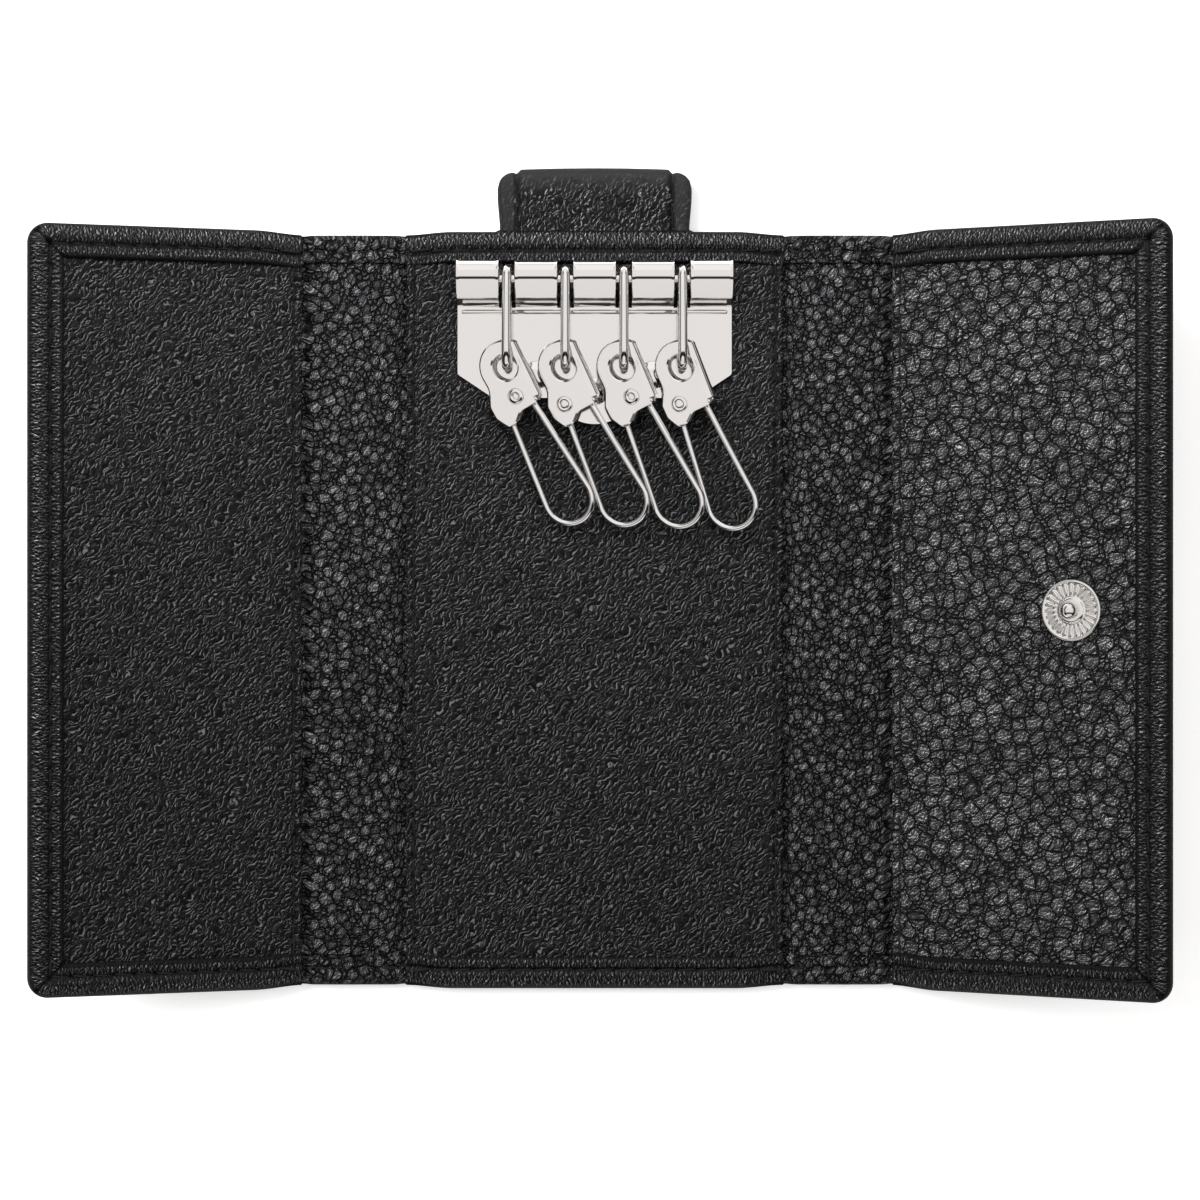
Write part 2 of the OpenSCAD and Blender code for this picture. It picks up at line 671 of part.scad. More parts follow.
// Angle at which a straight leg from a point meets the loop's round end, on the left (-1) or right (1)
function leg_turn(p, side) =
    let (v = p - loop_at) atan2(v[1], v[0]) - side * acos(loop_r / norm(v));
function loop_path() = concat([tip_at],
    arc(loop_at, loop_r, leg_turn(tip_at, -1), leg_turn(gate_at, 1) + 360, 16), [gate_at]);

module hook_wire(i) {
    color(WIRE) hook_place(i) {
        bent_wire(loop_path(), loop_wire_d, loop_sides);
        translate(gate_at) cylinder(d = loop_wire_d, h = leaf_gap - 2 * fit_gap, center = true);
    }
}

centre_cover();
centre_board();
centre_lining();
pull_tab();
hook_plate();
hook_rod();
plate_rivets();
rivet_washers();
left_spine_cover();
left_spine_lining();
left_flap_cover();
left_flap_board();
left_flap_lining();
snap_socket();
socket_post();
socket_spring();
right_spine_cover();
right_spine_lining();
right_flap_cover();
right_flap_board();
right_flap_lining();
snap_stud();
stud_cap();
for (i = HOOKS) {
    link(i);
    hook_body(i);
    hook_rivet(i);
    hook_wire(i);
}
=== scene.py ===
import json
import math
import bmesh
import bpy
import numpy as np
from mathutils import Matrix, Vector


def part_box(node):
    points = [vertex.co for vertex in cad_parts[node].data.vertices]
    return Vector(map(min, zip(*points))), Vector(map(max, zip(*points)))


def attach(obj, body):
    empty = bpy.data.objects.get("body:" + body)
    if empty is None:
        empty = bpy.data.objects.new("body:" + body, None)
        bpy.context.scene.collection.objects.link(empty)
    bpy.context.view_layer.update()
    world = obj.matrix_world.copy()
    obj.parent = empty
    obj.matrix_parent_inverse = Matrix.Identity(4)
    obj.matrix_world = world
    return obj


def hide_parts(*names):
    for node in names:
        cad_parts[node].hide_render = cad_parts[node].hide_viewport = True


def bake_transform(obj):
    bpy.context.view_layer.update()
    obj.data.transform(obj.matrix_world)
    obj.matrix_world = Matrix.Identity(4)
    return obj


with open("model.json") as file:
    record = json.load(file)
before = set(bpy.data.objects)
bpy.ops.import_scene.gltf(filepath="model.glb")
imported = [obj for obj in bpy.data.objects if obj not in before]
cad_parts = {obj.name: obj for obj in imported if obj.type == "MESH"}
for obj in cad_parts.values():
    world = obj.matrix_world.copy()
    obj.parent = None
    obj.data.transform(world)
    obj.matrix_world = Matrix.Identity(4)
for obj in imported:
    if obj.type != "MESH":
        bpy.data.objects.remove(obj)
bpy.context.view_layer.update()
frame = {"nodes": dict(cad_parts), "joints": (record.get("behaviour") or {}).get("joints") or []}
joints = {j["name"]: j for j in frame["joints"]}
mm = 0.001  # meshes below are worked out in millimetres


# Shader helpers

def newMaterial(name, metallic, roughness, specular=0.5):
    material = bpy.data.materials.new(name)
    material.use_nodes = True
    shader = material.node_tree.nodes["Principled BSDF"]
    shader.inputs["Metallic"].default_value = metallic
    shader.inputs["Roughness"].default_value = roughness
    shader.inputs["Specular IOR Level"].default_value = specular
    return material, shader


def addNode(tree, kind, values=None, **settings):
    node = tree.nodes.new(kind)
    for setting, value in settings.items():
        setattr(node, setting, value)
    for socket, value in (values or {}).items():
        if isinstance(value, bpy.types.NodeSocket):
            tree.links.new(value, node.inputs[socket])
        else:
            node.inputs[socket].default_value = value
    return node


def addMath(tree, operation, first, second=0.5):
    return addNode(tree, "ShaderNodeMath", {0: first, 1: second}, operation=operation).outputs[0]


def addVector(tree, operation, first, second):  # to scale, the second is a number
    socket = "Scale" if operation == "SCALE" else 1
    return addNode(tree, "ShaderNodeVectorMath", {0: first, socket: second}, operation=operation).outputs[0]


def addRange(tree, value, low, high, toLow, toHigh, kind="SMOOTHSTEP"):
    values = {"Value": value, "From Min": low, "From Max": high, "To Min": toLow, "To Max": toHigh}
    return addNode(tree, "ShaderNodeMapRange", values, interpolation_type=kind).outputs["Result"]


def addSplit(tree, vector):
    return addNode(tree, "ShaderNodeSeparateXYZ", {0: vector}).outputs


def addNoise(tree, place, scale, detail, roughness=0.5, distortion=0.0, across="3D"):
    values = {"Vector": place, "Scale": scale, "Detail": detail, "Roughness": roughness,
              "Distortion": distortion}
    return addNode(tree, "ShaderNodeTexNoise", values, noise_dimensions=across).outputs


def addRamp(tree, value, steps, tint=(1, 1, 1), kind="LINEAR"):  # steps are a place and the grey there
    ramp = addNode(tree, "ShaderNodeValToRGB", {"Fac": value})
    ramp.color_ramp.interpolation = kind
    marks = ramp.color_ramp.elements
    for place, grey in steps[1:-1]:
        marks.new(place)
    for mark, (place, grey) in zip(marks, steps):
        mark.position = place
        mark.color = (*[grey * share for share in tint], 1)
    return ramp.outputs["Color"]


def addBlend(tree, kind, first, second, factor=1, clamp=True):
    values = {"Factor": factor, "A": first, "B": second}
    settings = {"data_type": "RGBA", "blend_type": kind, "clamp_factor": clamp}
    return addNode(tree, "ShaderNodeMix", values, **settings).outputs["Result"]


def addColors(tree, shader, factor, low, high, clamp=True):  # base colour from low to high
    mix = addBlend(tree, "MIX", (*low, 1), (*high, 1), factor, clamp)
    tree.links.new(mix, shader.inputs["Base Color"])


def addBump(tree, shader, height, depth):  # depth in millimetres
    bump = addNode(tree, "ShaderNodeBump", {"Height": height, "Distance": depth * mm})
    tree.links.new(bump.outputs["Normal"], shader.inputs["Normal"])


def addMarks(tree, name):  # a place that the mesh itself carries
    return addNode(tree, "ShaderNodeAttribute", attribute_name=name).outputs["Vector"]


def newGroup(name, inputs, outputs):  # an input or output without a number is a place
    group = bpy.data.node_groups.new(name, "ShaderNodeTree")
    for way, sockets in (("INPUT", inputs), ("OUTPUT", outputs)):
        for label, default in sockets.items():
            kind = "NodeSocketVector" if default is None else "NodeSocketFloat"
            socket = group.interface.new_socket(label, in_out=way, socket_type=kind)
            if default is not None:
                socket.default_value = default
    return group, group.nodes.new("NodeGroupInput").outputs, group.nodes.new("NodeGroupOutput").inputs


def useGroup(tree, group, values=None):
    return addNode(tree, "ShaderNodeGroup", values, node_tree=group).outputs


# Camera, lights and floor

studioValues = {
    "cameraPlace": (0.8, 1.5, 480),
    "lens": 96,
    # brightness of the room: a large panel overhead and a low band (by height), which end in front (by depth,
    # from front -1 to back 1), and a card in front and one at the back (by depth) that are narrow (by how far
    # they lie to one side)
    "overhead": ((0.0, 0.6), (0.28, 0.6), (0.37, 0.05), (0.55, 0.07), (0.66, 0.86), (1.0, 0.88)),
    "overheadDepth": ((-1.0, 0.03), (-0.5, 0.03), (-0.38, 1.0), (1.0, 1.0)),
    "cardDepth": ((-1.0, 0.8), (-0.8, 0.86), (-0.7, 0.03), (0.35, 0.03), (0.5, 1.0), (0.93, 1.0), (1.0, 0.8)),
    "cardSide": ((0.0, 1.0), (0.4, 1.0), (0.55, 0.05), (1.0, 0.0)),
    "roomTint": (1, 0.992, 0.985),
    "floorGrey": 0.92, "floorGlow": 0.42, "floorRoughness": 0.9, "floorDrop": 0.05, "floorSize": 4000,
}
lightValues = {
    "key": {"place": (-420, 260, 420), "size": (420, 420), "power": 5.5},
    "side": {"place": (460, 60, 330), "size": (140, 520), "power": 0.5},
    "sheen": {"place": (5, 125, 135), "size": (110, 110), "power": 0.45},
}
leatherPieces = bpy.data.collections.new("leatherPieces")  # what the sheen light falls on


def addLight(name, values):
    light = bpy.data.lights.new(name + "Light", "AREA")
    light.shape = "RECTANGLE"
    light.size, light.size_y = (side * mm for side in values["size"])
    light.energy = values["power"]
    lamp = bpy.data.objects.new(name + "Light", light)
    lamp.location = Vector(values["place"]) * mm
    lamp.rotation_euler = (-lamp.location).to_track_quat("-Z", "Y").to_euler()
    bpy.context.scene.collection.objects.link(lamp)
    return lamp


def addPanel(tree, steps, ray, low, tint):  # brightness by how far a ray goes one way, from low to 1
    return addRamp(tree, ray, [((place - low) / (1 - low), grey) for place, grey in steps], tint, "EASE")


def buildRoom(values):
    world = bpy.data.worlds.new("studioWorld")
    world.use_nodes = True
    tree = world.node_tree
    ray = addSplit(tree, addNode(tree, "ShaderNodeTexCoord").outputs["Generated"])
    side = addMath(tree, "ABSOLUTE", ray["X"])
    depth = addRange(tree, ray["Y"], -1.0, 1.0, 0.0, 1.0, "LINEAR")
    panels = []
    for first, height, second in (("overhead", ray["Z"], "overheadDepth"), ("cardSide", side, "cardDepth")):
        panels.append(addBlend(tree, "MULTIPLY", addPanel(tree, values[first], height, 0, values["roomTint"]),
                               addPanel(tree, values[second], depth, -1, values["roomTint"])))
    tree.links.new(addBlend(tree, "LIGHTEN", *panels), tree.nodes["Background"].inputs["Color"])
    bpy.context.scene.world = world


def buildFloor(values):
    half = values["floorSize"] / 2 * mm
    mesh = bpy.data.meshes.new("floor")
    corners = [(-half, -half, 0), (half, -half, 0), (half, half, 0), (-half, half, 0)]
    mesh.from_pydata(corners, [], [(0, 1, 2, 3)])
    floor = bpy.data.objects.new("floor", mesh)
    floor.location.z = -values["floorDrop"] * mm
    bpy.context.scene.collection.objects.link(floor)
    paint, shader = newMaterial("floorPaint", 0, values["floorRoughness"])
    shader.inputs["Base Color"].default_value = (*[values["floorGrey"]] * 3, 1)
    shader.inputs["Emission Color"].default_value = (1, 1, 1, 1)
    shader.inputs["Emission Strength"].default_value = values["floorGlow"]
    mesh.materials.append(paint)


def buildStudio(values):
    scene = bpy.context.scene
    scene.view_settings.view_transform = "Standard"
    camera = bpy.data.objects.new("camera", bpy.data.cameras.new("camera"))
    camera.data.lens = values["lens"]
    camera.location = Vector(values["cameraPlace"]) * mm
    scene.collection.objects.link(camera)
    scene.camera = camera
    buildRoom(values)
    lamps = {name: addLight(name, light) for name, light in lightValues.items()}
    lamps["sheen"].light_linking.receiver_collection = leatherPieces
    lamps["key"].visible_glossy = lamps["side"].visible_glossy = False  # the metal mirrors only the room
    buildFloor(values)


buildStudio(studioValues)
print("studio ready")


# Places in millimetres, turned and stretched so that the grain can run one way

placeValues = {"wobbleScale": 0.45, "wobbleDetail": 2.0, "wobbleMiddle": (0.5, 0.5, 0.5)}


def buildPlaceGroup(v):
    inputs = {"Point": None, "Turn": 0.0, "Stretch": 1.0, "Wander": 0.3}
    group, given, result = newGroup("leatherPlace", inputs, {"Place": None})
    inMm = addVector(group, "SCALE", given["Point"], 1 / mm)
    wobble = addNoise(group, inMm, v["wobbleScale"], v["wobbleDetail"])["Color"]
    centred = addVector(group, "SUBTRACT", wobble, v["wobbleMiddle"])
    total = addVector(group, "ADD", inMm, addVector(group, "SCALE", centred, given["Wander"]))
    turned = addNode(group, "ShaderNodeVectorRotate", {"Vector": total, "Angle": given["Turn"]},
                     rotation_type="Z_AXIS").outputs[0]
    squeeze = addNode(group, "ShaderNodeCombineXYZ", {"X": given["Stretch"], "Y": 1.0, "Z": 1.0}).outputs[0]
    group.links.new(addVector(group, "MULTIPLY", turned, squeeze), result["Place"])
    return group


# Grain: round cells, small ones in the gaps between them, creases all round, and a second one here and there

cellValues = {
    "randomness": (0.8, 1.0),  # of the large cells and the small ones
    "patchScale": 0.9, "patchRange": (0.35, 0.65), "softness": (0.05, 0.11), "crease": 0.012,
    "largeEdge": 0.07, "largeBlend": 0.02,
    "secondPlace": 0.135, "secondWidth": (0.008, 0.03), "secondPatch": (0.44, 0.56), "secondDark": 0.35,
    "crownRange": (0.05, 0.6), "crownFall": 0.66,
    "smallRange": (0.03, 0.2), "smallHeight": 0.72, "smallBlend": -0.05,
}


# the dome is also used as the leather's painted highlight on cell tops and painted shade in their creases
def buildCellGroup(v):
    group, given, result = newGroup("grainCells", {"Place": None, "Size": 1.5, "Round": 0.5, "Small": 2.3},
                                    {"Dome": 0.0, "Tone": 0.0})
    scale = addMath(group, "DIVIDE", 1.0, given["Size"])
    tones, domes = [], []
    for finer, randomness in zip((1.0, given["Small"]), v["randomness"]):
        spots = {"Vector": given["Place"], "Scale": addMath(group, "MULTIPLY", scale, finer),
                 "Randomness": randomness}
        edge = addNode(group, "ShaderNodeTexVoronoi", spots, voronoi_dimensions="2D",
                       feature="DISTANCE_TO_EDGE")
        cell = addNode(group, "ShaderNodeTexVoronoi", spots, voronoi_dimensions="2D")
        domes.append((edge.outputs["Distance"], cell.outputs["Distance"]))
        tones.append(addNode(group, "ShaderNodeSeparateColor", {"Color": cell.outputs["Color"]}).outputs[0])
    (edge, away), smallEdge = domes[0], domes[1][0]
    rim = addMath(group, "SUBTRACT", given["Round"], away)
    patchy = addNoise(group, given["Place"], v["patchScale"], 1.0, across="2D")["Fac"]
    softness = addRange(group, patchy, *v["patchRange"], *v["softness"])
    large = addMath(group, "MULTIPLY", addRange(group, edge, v["crease"], softness, 0.0, 1.0),
                    addRange(group, rim, 0.0, v["largeEdge"], 0.0, 1.0))
    second = addMath(group, "SUBTRACT", addMath(group, "MINIMUM", edge, rim), v["secondPlace"])
    secondTone = addRange(group, patchy, *v["secondPatch"], v["secondDark"], 1.0)
    line = addRange(group, addMath(group, "ABSOLUTE", second), *v["secondWidth"], secondTone, 1.0)
    crown = addMath(group, "MULTIPLY", line, addRange(group, away, *v["crownRange"], 1.0, v["crownFall"]))
    small = addMath(group, "MULTIPLY", addRange(group, smallEdge, *v["smallRange"], 0.0, v["smallHeight"]),
                    addRange(group, rim, 0.0, v["smallBlend"], 0.0, 1.0))
    dome = addMath(group, "MAXIMUM", addMath(group, "MULTIPLY", large, crown), small)
    group.links.new(dome, result["Dome"])
    isLarge = addRange(group, rim, 0.0, v["largeBlend"], 0.0, 1.0)
    mix = addNode(group, "ShaderNodeMix", {"Factor": isLarge, "A": tones[1], "B": tones[0]})
    group.links.new(mix.outputs["Result"], result["Tone"])
    return group


# Long creases: two sets of wandering lines, which fade in and out, darkened as painted shade

creaseValues = {
    "lines": (("Y", "X", 1.0, 9.0), ("X", "Y", 1.7, -7.0)),  # way across, way along, share of the size, sway
    "slant": 0.12, "core": 0.3, "wanderScale": 0.09, "wanderDetail": 2.5,
    "fadeScale": 0.22, "fadeDetail": 2.0, "fade": (0.42, 0.56), "dark": 0.18,
}


def buildCreaseGroup(v):
    group, given, result = newGroup("longCreases", {"Place": None, "Size": 4.5, "Width": 0.105}, {"Gap": 0.0})
    wander = addNoise(group, given["Place"], v["wanderScale"], v["wanderDetail"], across="2D")["Fac"]
    fade = addNoise(group, given["Place"], v["fadeScale"], v["fadeDetail"], across="2D")["Color"]
    fades = addNode(group, "ShaderNodeSeparateColor", {"Color": fade}).outputs
    split = addSplit(group, given["Place"])
    gaps = []
    for (way, along, spacing, sway), shown in zip(v["lines"], fades):
        slant = addMath(group, "ADD", split[way], addMath(group, "MULTIPLY", split[along], v["slant"]))
        turns = addMath(group, "DIVIDE", slant, addMath(group, "MULTIPLY", given["Size"], spacing / math.pi))
        wave = addMath(group, "SINE", addMath(group, "ADD", turns, addMath(group, "MULTIPLY", wander, sway)))
        dark = addRange(group, shown, *v["fade"], 1.0, v["dark"])
        core = addMath(group, "MULTIPLY", given["Width"], v["core"])
        gaps.append(addRange(group, addMath(group, "ABSOLUTE", wave), core, given["Width"], dark, 1.0))
    group.links.new(addMath(group, "MULTIPLY", *gaps), result["Gap"])
    return group


# Fine wrinkles: long noise, with painted light on the side of each wrinkle towards the key, painted shade
# beside it

wrinkleValues = {
    "detail": 2.5, "distortion": 0.25, "lightWay": (0, 0.11, 0), "shade": (-0.06, 0.03), "light": 0.19,
    "dip": (0.32, 0.56, 0.12, 1.0), "ground": 0.13,
}


# the second result is painted light and shade: the noise less a copy of it shifted towards the key
def addWrinkles(group, place, size, lightWay, slopes):
    heights = []
    for step in ((0, 0, 0), lightWay):
        scale = addMath(group, "DIVIDE", 1.0, size)
        heights.append(addNoise(group, addVector(group, "ADD", place, step), scale, wrinkleValues["detail"],
                                distortion=wrinkleValues["distortion"], across="2D")["Fac"])
    return heights[0], addRange(group, addMath(group, "SUBTRACT", *heights), *slopes, 0.0, 1.0)


def buildWrinkleGroup(v):
    group, given, result = newGroup("wrinkleLines", {"Place": None, "Size": 0.75, "Sharp": 0.0},
                                    {"Height": 0.0, "Light": 0.0})
    shade = addRange(group, given["Sharp"], 0.0, 1.0, *v["shade"], "LINEAR")
    height, light = addWrinkles(group, given["Place"], given["Size"], v["lightWay"], (shade, v["light"]))
    # painted shade: the ground is darker in the dips of the wrinkles
    ground = addMath(group, "MULTIPLY", addRange(group, height, *v["dip"]),
                     addMath(group, "MULTIPLY", given["Sharp"], v["ground"]))
    group.links.new(height, result["Height"])
    group.links.new(addMath(group, "ADD", ground, light), result["Light"])
    return group


# Short gathers across a turned-over rim, from the rim's own places, with painted light and shade

tickValues = {
    "draw": (1.0, 0.6, 0.0), "lightWay": (-0.11, 0, 0), "slopes": (-0.04, 0.18), "rimWidth": 5.2,
    # painted light and shade by how far in from the edge: a lit roll, the seam's shaded groove, a flat band, a
    # lit lip, a shade
    "paintedRimLight": ((0.0, 0.1), (0.07, 0.2), (0.14, 1.1), (0.26, 1.1), (0.35, 0.7), (0.47, 0.65), (0.56, 0.3),
             (0.61, 0.08), (0.67, 0.75), (0.78, 0.7), (0.82, 1.1), (0.87, 0.35), (0.93, 0.08), (1.0, 0.08)),
}


def buildTickGroup(v):
    group, given, result = newGroup("rimTicks", {"Size": 0.36}, {"Height": 0.0, "Light": 0.0})
    rim = addMarks(group, "rimPlace")
    drawn = addVector(group, "MULTIPLY", rim, v["draw"])
    height, light = addWrinkles(group, drawn, given["Size"], v["lightWay"], v["slopes"])
    split = addSplit(group, rim)
    paintedRimLight = addRamp(group, addMath(group, "DIVIDE", split["Y"], v["rimWidth"]), v["paintedRimLight"])
    group.links.new(height, result["Height"])
    # the painted light and shade across the rim, times the painted shade of the corner pleats in the mark's
    # third place
    shown = addMath(group, "MULTIPLY", paintedRimLight, split["Z"])
    group.links.new(addMath(group, "MULTIPLY", light, shown), result["Light"])
    return group


placeGroup = buildPlaceGroup(placeValues)
cellGroup = buildCellGroup(cellValues)
creaseGroup = buildCreaseGroup(creaseValues)
wrinkleGroup = buildWrinkleGroup(wrinkleValues)
tickGroup = buildTickGroup(tickValues)


# Leather: shares of grain cells, long creases, fine wrinkles and rim gathers, and their sizes in millimetres

leatherValues = {
    "pebble": {
        "color": (0.0015, 0.0015, 0.0017), "topColor": (0.101, 0.101, 0.1049), "contrast": 1.32,
        "roughness": 0.4, "specular": 0.09, "depth": 0.3, "creases": 1.0,
        "cells": 1.0, "cell": 2.3, "small": 2.6, "round": 0.52,
        "wrinkles": 0.8, "wrinkle": 0.4, "sharp": 0.8, "turn": -0.52, "stretch": 0.92, "wander": 1.3},
    "gusset": {
        "color": (0.001, 0.001, 0.0012), "topColor": (0.072, 0.072, 0.0748), "contrast": 1.9,
        "roughness": 0.38, "specular": 0.06, "depth": 0.3, "creases": 0.5,
        "cells": 1.0, "cell": 1.75, "small": 2.2, "round": 0.45,
        "wrinkles": 0.5, "wrinkle": 0.35, "sharp": 0.3, "turn": -0.9, "stretch": 0.9, "wander": 1.3},
    "fine": {
        "color": (0.0008, 0.0008, 0.001), "topColor": (0.0264, 0.0264, 0.0275), "contrast": 1.38,
        "roughness": 0.42, "specular": 0.06, "depth": 0.08,
        "creases": 0.3, "wrinkles": 1.0, "wrinkle": 0.44, "sharp": 1.0,
        "turn": -0.82, "stretch": 0.5, "wander": 2.4},
    "rim": {
        "color": (0.001, 0.001, 0.0012), "topColor": (0.0282, 0.0282, 0.0293), "contrast": 1.65,
        "roughness": 0.36, "specular": 0.095, "depth": 0.12,
        "ticks": 0.95, "wrinkles": 0.5, "wrinkle": 0.5, "sharp": 0.3,
        "turn": -0.82, "stretch": 0.4, "wander": 1.0},
    "tab": {
        "color": (0.002, 0.002, 0.0023), "topColor": (0.034, 0.034, 0.0354), "contrast": 1.9,
        "plainTone": 0.3, "roughness": 0.36, "specular": 0.075, "depth": 0.14,
        "cells": 0.1, "cell": 2.4, "small": 2.0, "round": 0.5, "creases": 0.6,
        "wrinkles": 1.0, "wrinkle": 0.5, "sharp": 0.8, "turn": -1.1, "stretch": 0.6, "wander": 2.0},
}
toneValues = {
    "wrinkleLight": 2.0, "tickLight": 2.5, "cellTones": (0.65, 1.1), "creaseHeight": 0.6, "dull": 0.3,
}


def addShare(tree, value, share, gain=1.0):  # from 1 when the share is 0 to the value itself
    return addMath(tree, "ADD", addMath(tree, "MULTIPLY", value, share * gain), 1 - share)


def leatherMaterial(name, values):
    material, shader = newMaterial(name, 0, values["roughness"], values["specular"])
    tree, v = material.node_tree, toneValues
    place = useGroup(tree, placeGroup, {"Point": addMarks(tree, "flatPlace"), "Turn": values["turn"],
                                        "Stretch": values["stretch"], "Wander": values["wander"]})["Place"]
    wrinkle = useGroup(tree, wrinkleGroup, {"Place": place, "Size": values["wrinkle"],
                                            "Sharp": values["sharp"]})
    height = addMath(tree, "MULTIPLY", wrinkle["Height"], values["wrinkles"])
    tone = addShare(tree, wrinkle["Light"], values["wrinkles"], v["wrinkleLight"])

    def press(height, tone, shape, depth, light):  # one more effect on the height and on the tone
        raised = addMath(tree, "ADD", height, addMath(tree, "MULTIPLY", shape, depth))
        return raised, addMath(tree, "MULTIPLY", tone, light)
    if "cells" in values:
        share = values["cells"]
        cell = useGroup(tree, cellGroup, {"Place": place, "Size": values["cell"], "Round": values["round"],
                                          "Small": values["small"]})
        # the tone follows the domes: painted highlight on the cell tops, painted shade in the creases
        height, tone = press(height, tone, cell["Dome"], share, addShare(tree, cell["Dome"], share))
        tone = addMath(tree, "MULTIPLY", tone, addRange(tree, cell["Tone"], 0.0, 1.0, *v["cellTones"]))
    if "creases" in values:
        share = values["creases"]
        gap = useGroup(tree, creaseGroup, {"Place": place})["Gap"]
        # painted shade along the long creases
        height, tone = press(height, tone, gap, share * v["creaseHeight"], addShare(tree, gap, share))
    if "ticks" in values:
        share = values["ticks"]
        tick = useGroup(tree, tickGroup)
        # painted light and shade of the rim's gathers and of the rim across its depth
        light = addShare(tree, tick["Light"], share, v["tickLight"])
        height, tone = press(height, tone, tick["Height"], share, light)
    tone = addMath(tree, "POWER", tone, values["contrast"])
    if "plainTone" in values:  # smooth where the piece's own mark is nought
        grained = addSplit(tree, addMarks(tree, "rimPlace"))["Z"]
        height = addMath(tree, "MULTIPLY", height, grained)
        tone = addRange(tree, grained, 0.0, 1.0, values["plainTone"], tone, "LINEAR")
    addBump(tree, shader, height, values["depth"])
    # the base colour from the tone, which holds the painted light and shade of grain, creases, wrinkles and
    # rim
    addColors(tree, shader, tone, values["color"], values["topColor"], clamp=False)
    gloss = addRange(tree, tone, 0.0, 1.0, values["roughness"] + v["dull"], values["roughness"])
    tree.links.new(gloss, shader.inputs["Roughness"])
    return material


pebbleLeather, gussetLeather, fineLeather, rimLeather, tabLeather = (
    leatherMaterial(kind + "Leather", values) for kind, values in leatherValues.items())


# Waxed black thread, its twist drawn from the places along and round each stitch

threadValues = {
    "color": (0.004, 0.004, 0.0045), "topColor": (0.012, 0.012, 0.013), "roughness": 0.55, "specular": 0.3,
    "twist": 9.0, "strands": 2.0, "depth": 0.05,
}


def threadMaterial(name, values):
    material, shader = newMaterial(name, 0, values["roughness"], values["specular"])
    tree = material.node_tree
    split = addSplit(tree, addMarks(tree, "rimPlace"))
    turns = addMath(tree, "ADD", addMath(tree, "MULTIPLY", split["X"], values["twist"]),
                    addMath(tree, "MULTIPLY", split["Y"], values["strands"]))
    twist = addMath(tree, "ADD", addMath(tree, "MULTIPLY", addMath(tree, "SINE", turns), 0.5), 0.5)
    addBump(tree, shader, twist, values["depth"])
    # the colour is lighter on the crowns of the twist: a painted highlight
    addColors(tree, shader, twist, values["color"], values["topColor"])
    return material


threadCord = threadMaterial("threadCord", threadValues)


# Metal: bright plating with a little waviness and faint rubbing

metalValues = {
    "plate": {"color": (0.9, 0.875, 0.86), "roughness": 0.08, "wave": 0.012},
    "wire": {"color": (0.9, 0.885, 0.875), "roughness": 0.06, "wave": 0.006},
    "snap": {"color": (0.84, 0.82, 0.8), "roughness": 0.16, "wave": 0.01},
}
rubValues = {
    "waveScale": 0.25, "scale": 9.0, "detail": 4.0, "roughness": 0.7, "range": (0.5, 0.8),
    "dull": 0.08, "dark": 0.96,
}


def metalMaterial(name, values):
    material, shader = newMaterial(name, 1, values["roughness"])
    tree, v = material.node_tree, rubValues
    point = addNode(tree, "ShaderNodeTexCoord").outputs["Object"]
    place = useGroup(tree, placeGroup, {"Point": point})["Place"]
    addBump(tree, shader, addNoise(tree, place, v["waveScale"], 1.0)["Fac"], values["wave"])
    rub = addNoise(tree, place, v["scale"], v["detail"], v["roughness"])["Fac"]
    rough = addRange(tree, rub, *v["range"], values["roughness"], values["roughness"] + v["dull"])
    tree.links.new(rough, shader.inputs["Roughness"])
    addColors(tree, shader, rub, values["color"], [c * v["dark"] for c in values["color"]])
    return material


plateMetal, wireMetal, snapMetal = (
    metalMaterial(kind + "Metal", values) for kind, values in metalValues.items())


# Grey fibre board, hidden between the leathers

boardValues = {
    "color": (0.13, 0.11, 0.09), "topColor": (0.24, 0.2, 0.16), "roughness": 0.9,
    "scale": 3.0, "detail": 5.0, "turn": 0.3, "stretch": 0.3, "wander": 2.0,
}


def boardMaterial(name, values):
    material, shader = newMaterial(name, 0, values["roughness"])
    tree = material.node_tree
    point = addNode(tree, "ShaderNodeTexCoord").outputs["Object"]
    place = useGroup(tree, placeGroup, {"Point": point, "Turn": values["turn"], "Stretch": values["stretch"],
                                        "Wander": values["wander"]})["Place"]
    fibre = addNoise(tree, place, values["scale"], values["detail"])["Fac"]
    addColors(tree, shader, fibre, values["color"], values["topColor"])
    return material


fibreBoard = boardMaterial("fibreBoard", boardValues)

# finish of the solids by how their names start, the first that fits
nodeFinishes = (
    (("left_flap_board", "centre_board", "right_flap_board"), fibreBoard),
    (("link", "hook_wire", "hook_rivet", "plate_rivets", "socket_spring"), wireMetal),
    (("hook",), plateMetal),
    (("snap", "stud", "socket", "rivet"), snapMetal),
    (("",), fineLeather),
)
for name, node in frame["nodes"].items():
    material = next(finish for starts, finish in nodeFinishes if name.startswith(starts))
    node.data.materials.clear()
    node.data.materials.append(material)
print("materials ready")


# Mesh helpers, in millimetres

meshValues = {
    # grain is laid out flat: upright sides are shifted by their height, and flaps lie beside the centre
    "sideShift": (0.8, 0.6, 0), "flapShift": (60, 0, 0), "weld": 0.004,
}


def smoothStep(value, low, high):
    t = np.clip((value - low) / (high - low), 0, 1)
    return t * t * (3 - 2 * t)


def bellShape(away, reach):  # 1 at a place, falling off on both sides
    return np.exp(-(away / reach) ** 2)


def around(x, y, offsets):  # places given by how far they lie from one place
    return [(x + dx, y + dy) for dx, dy in offsets]


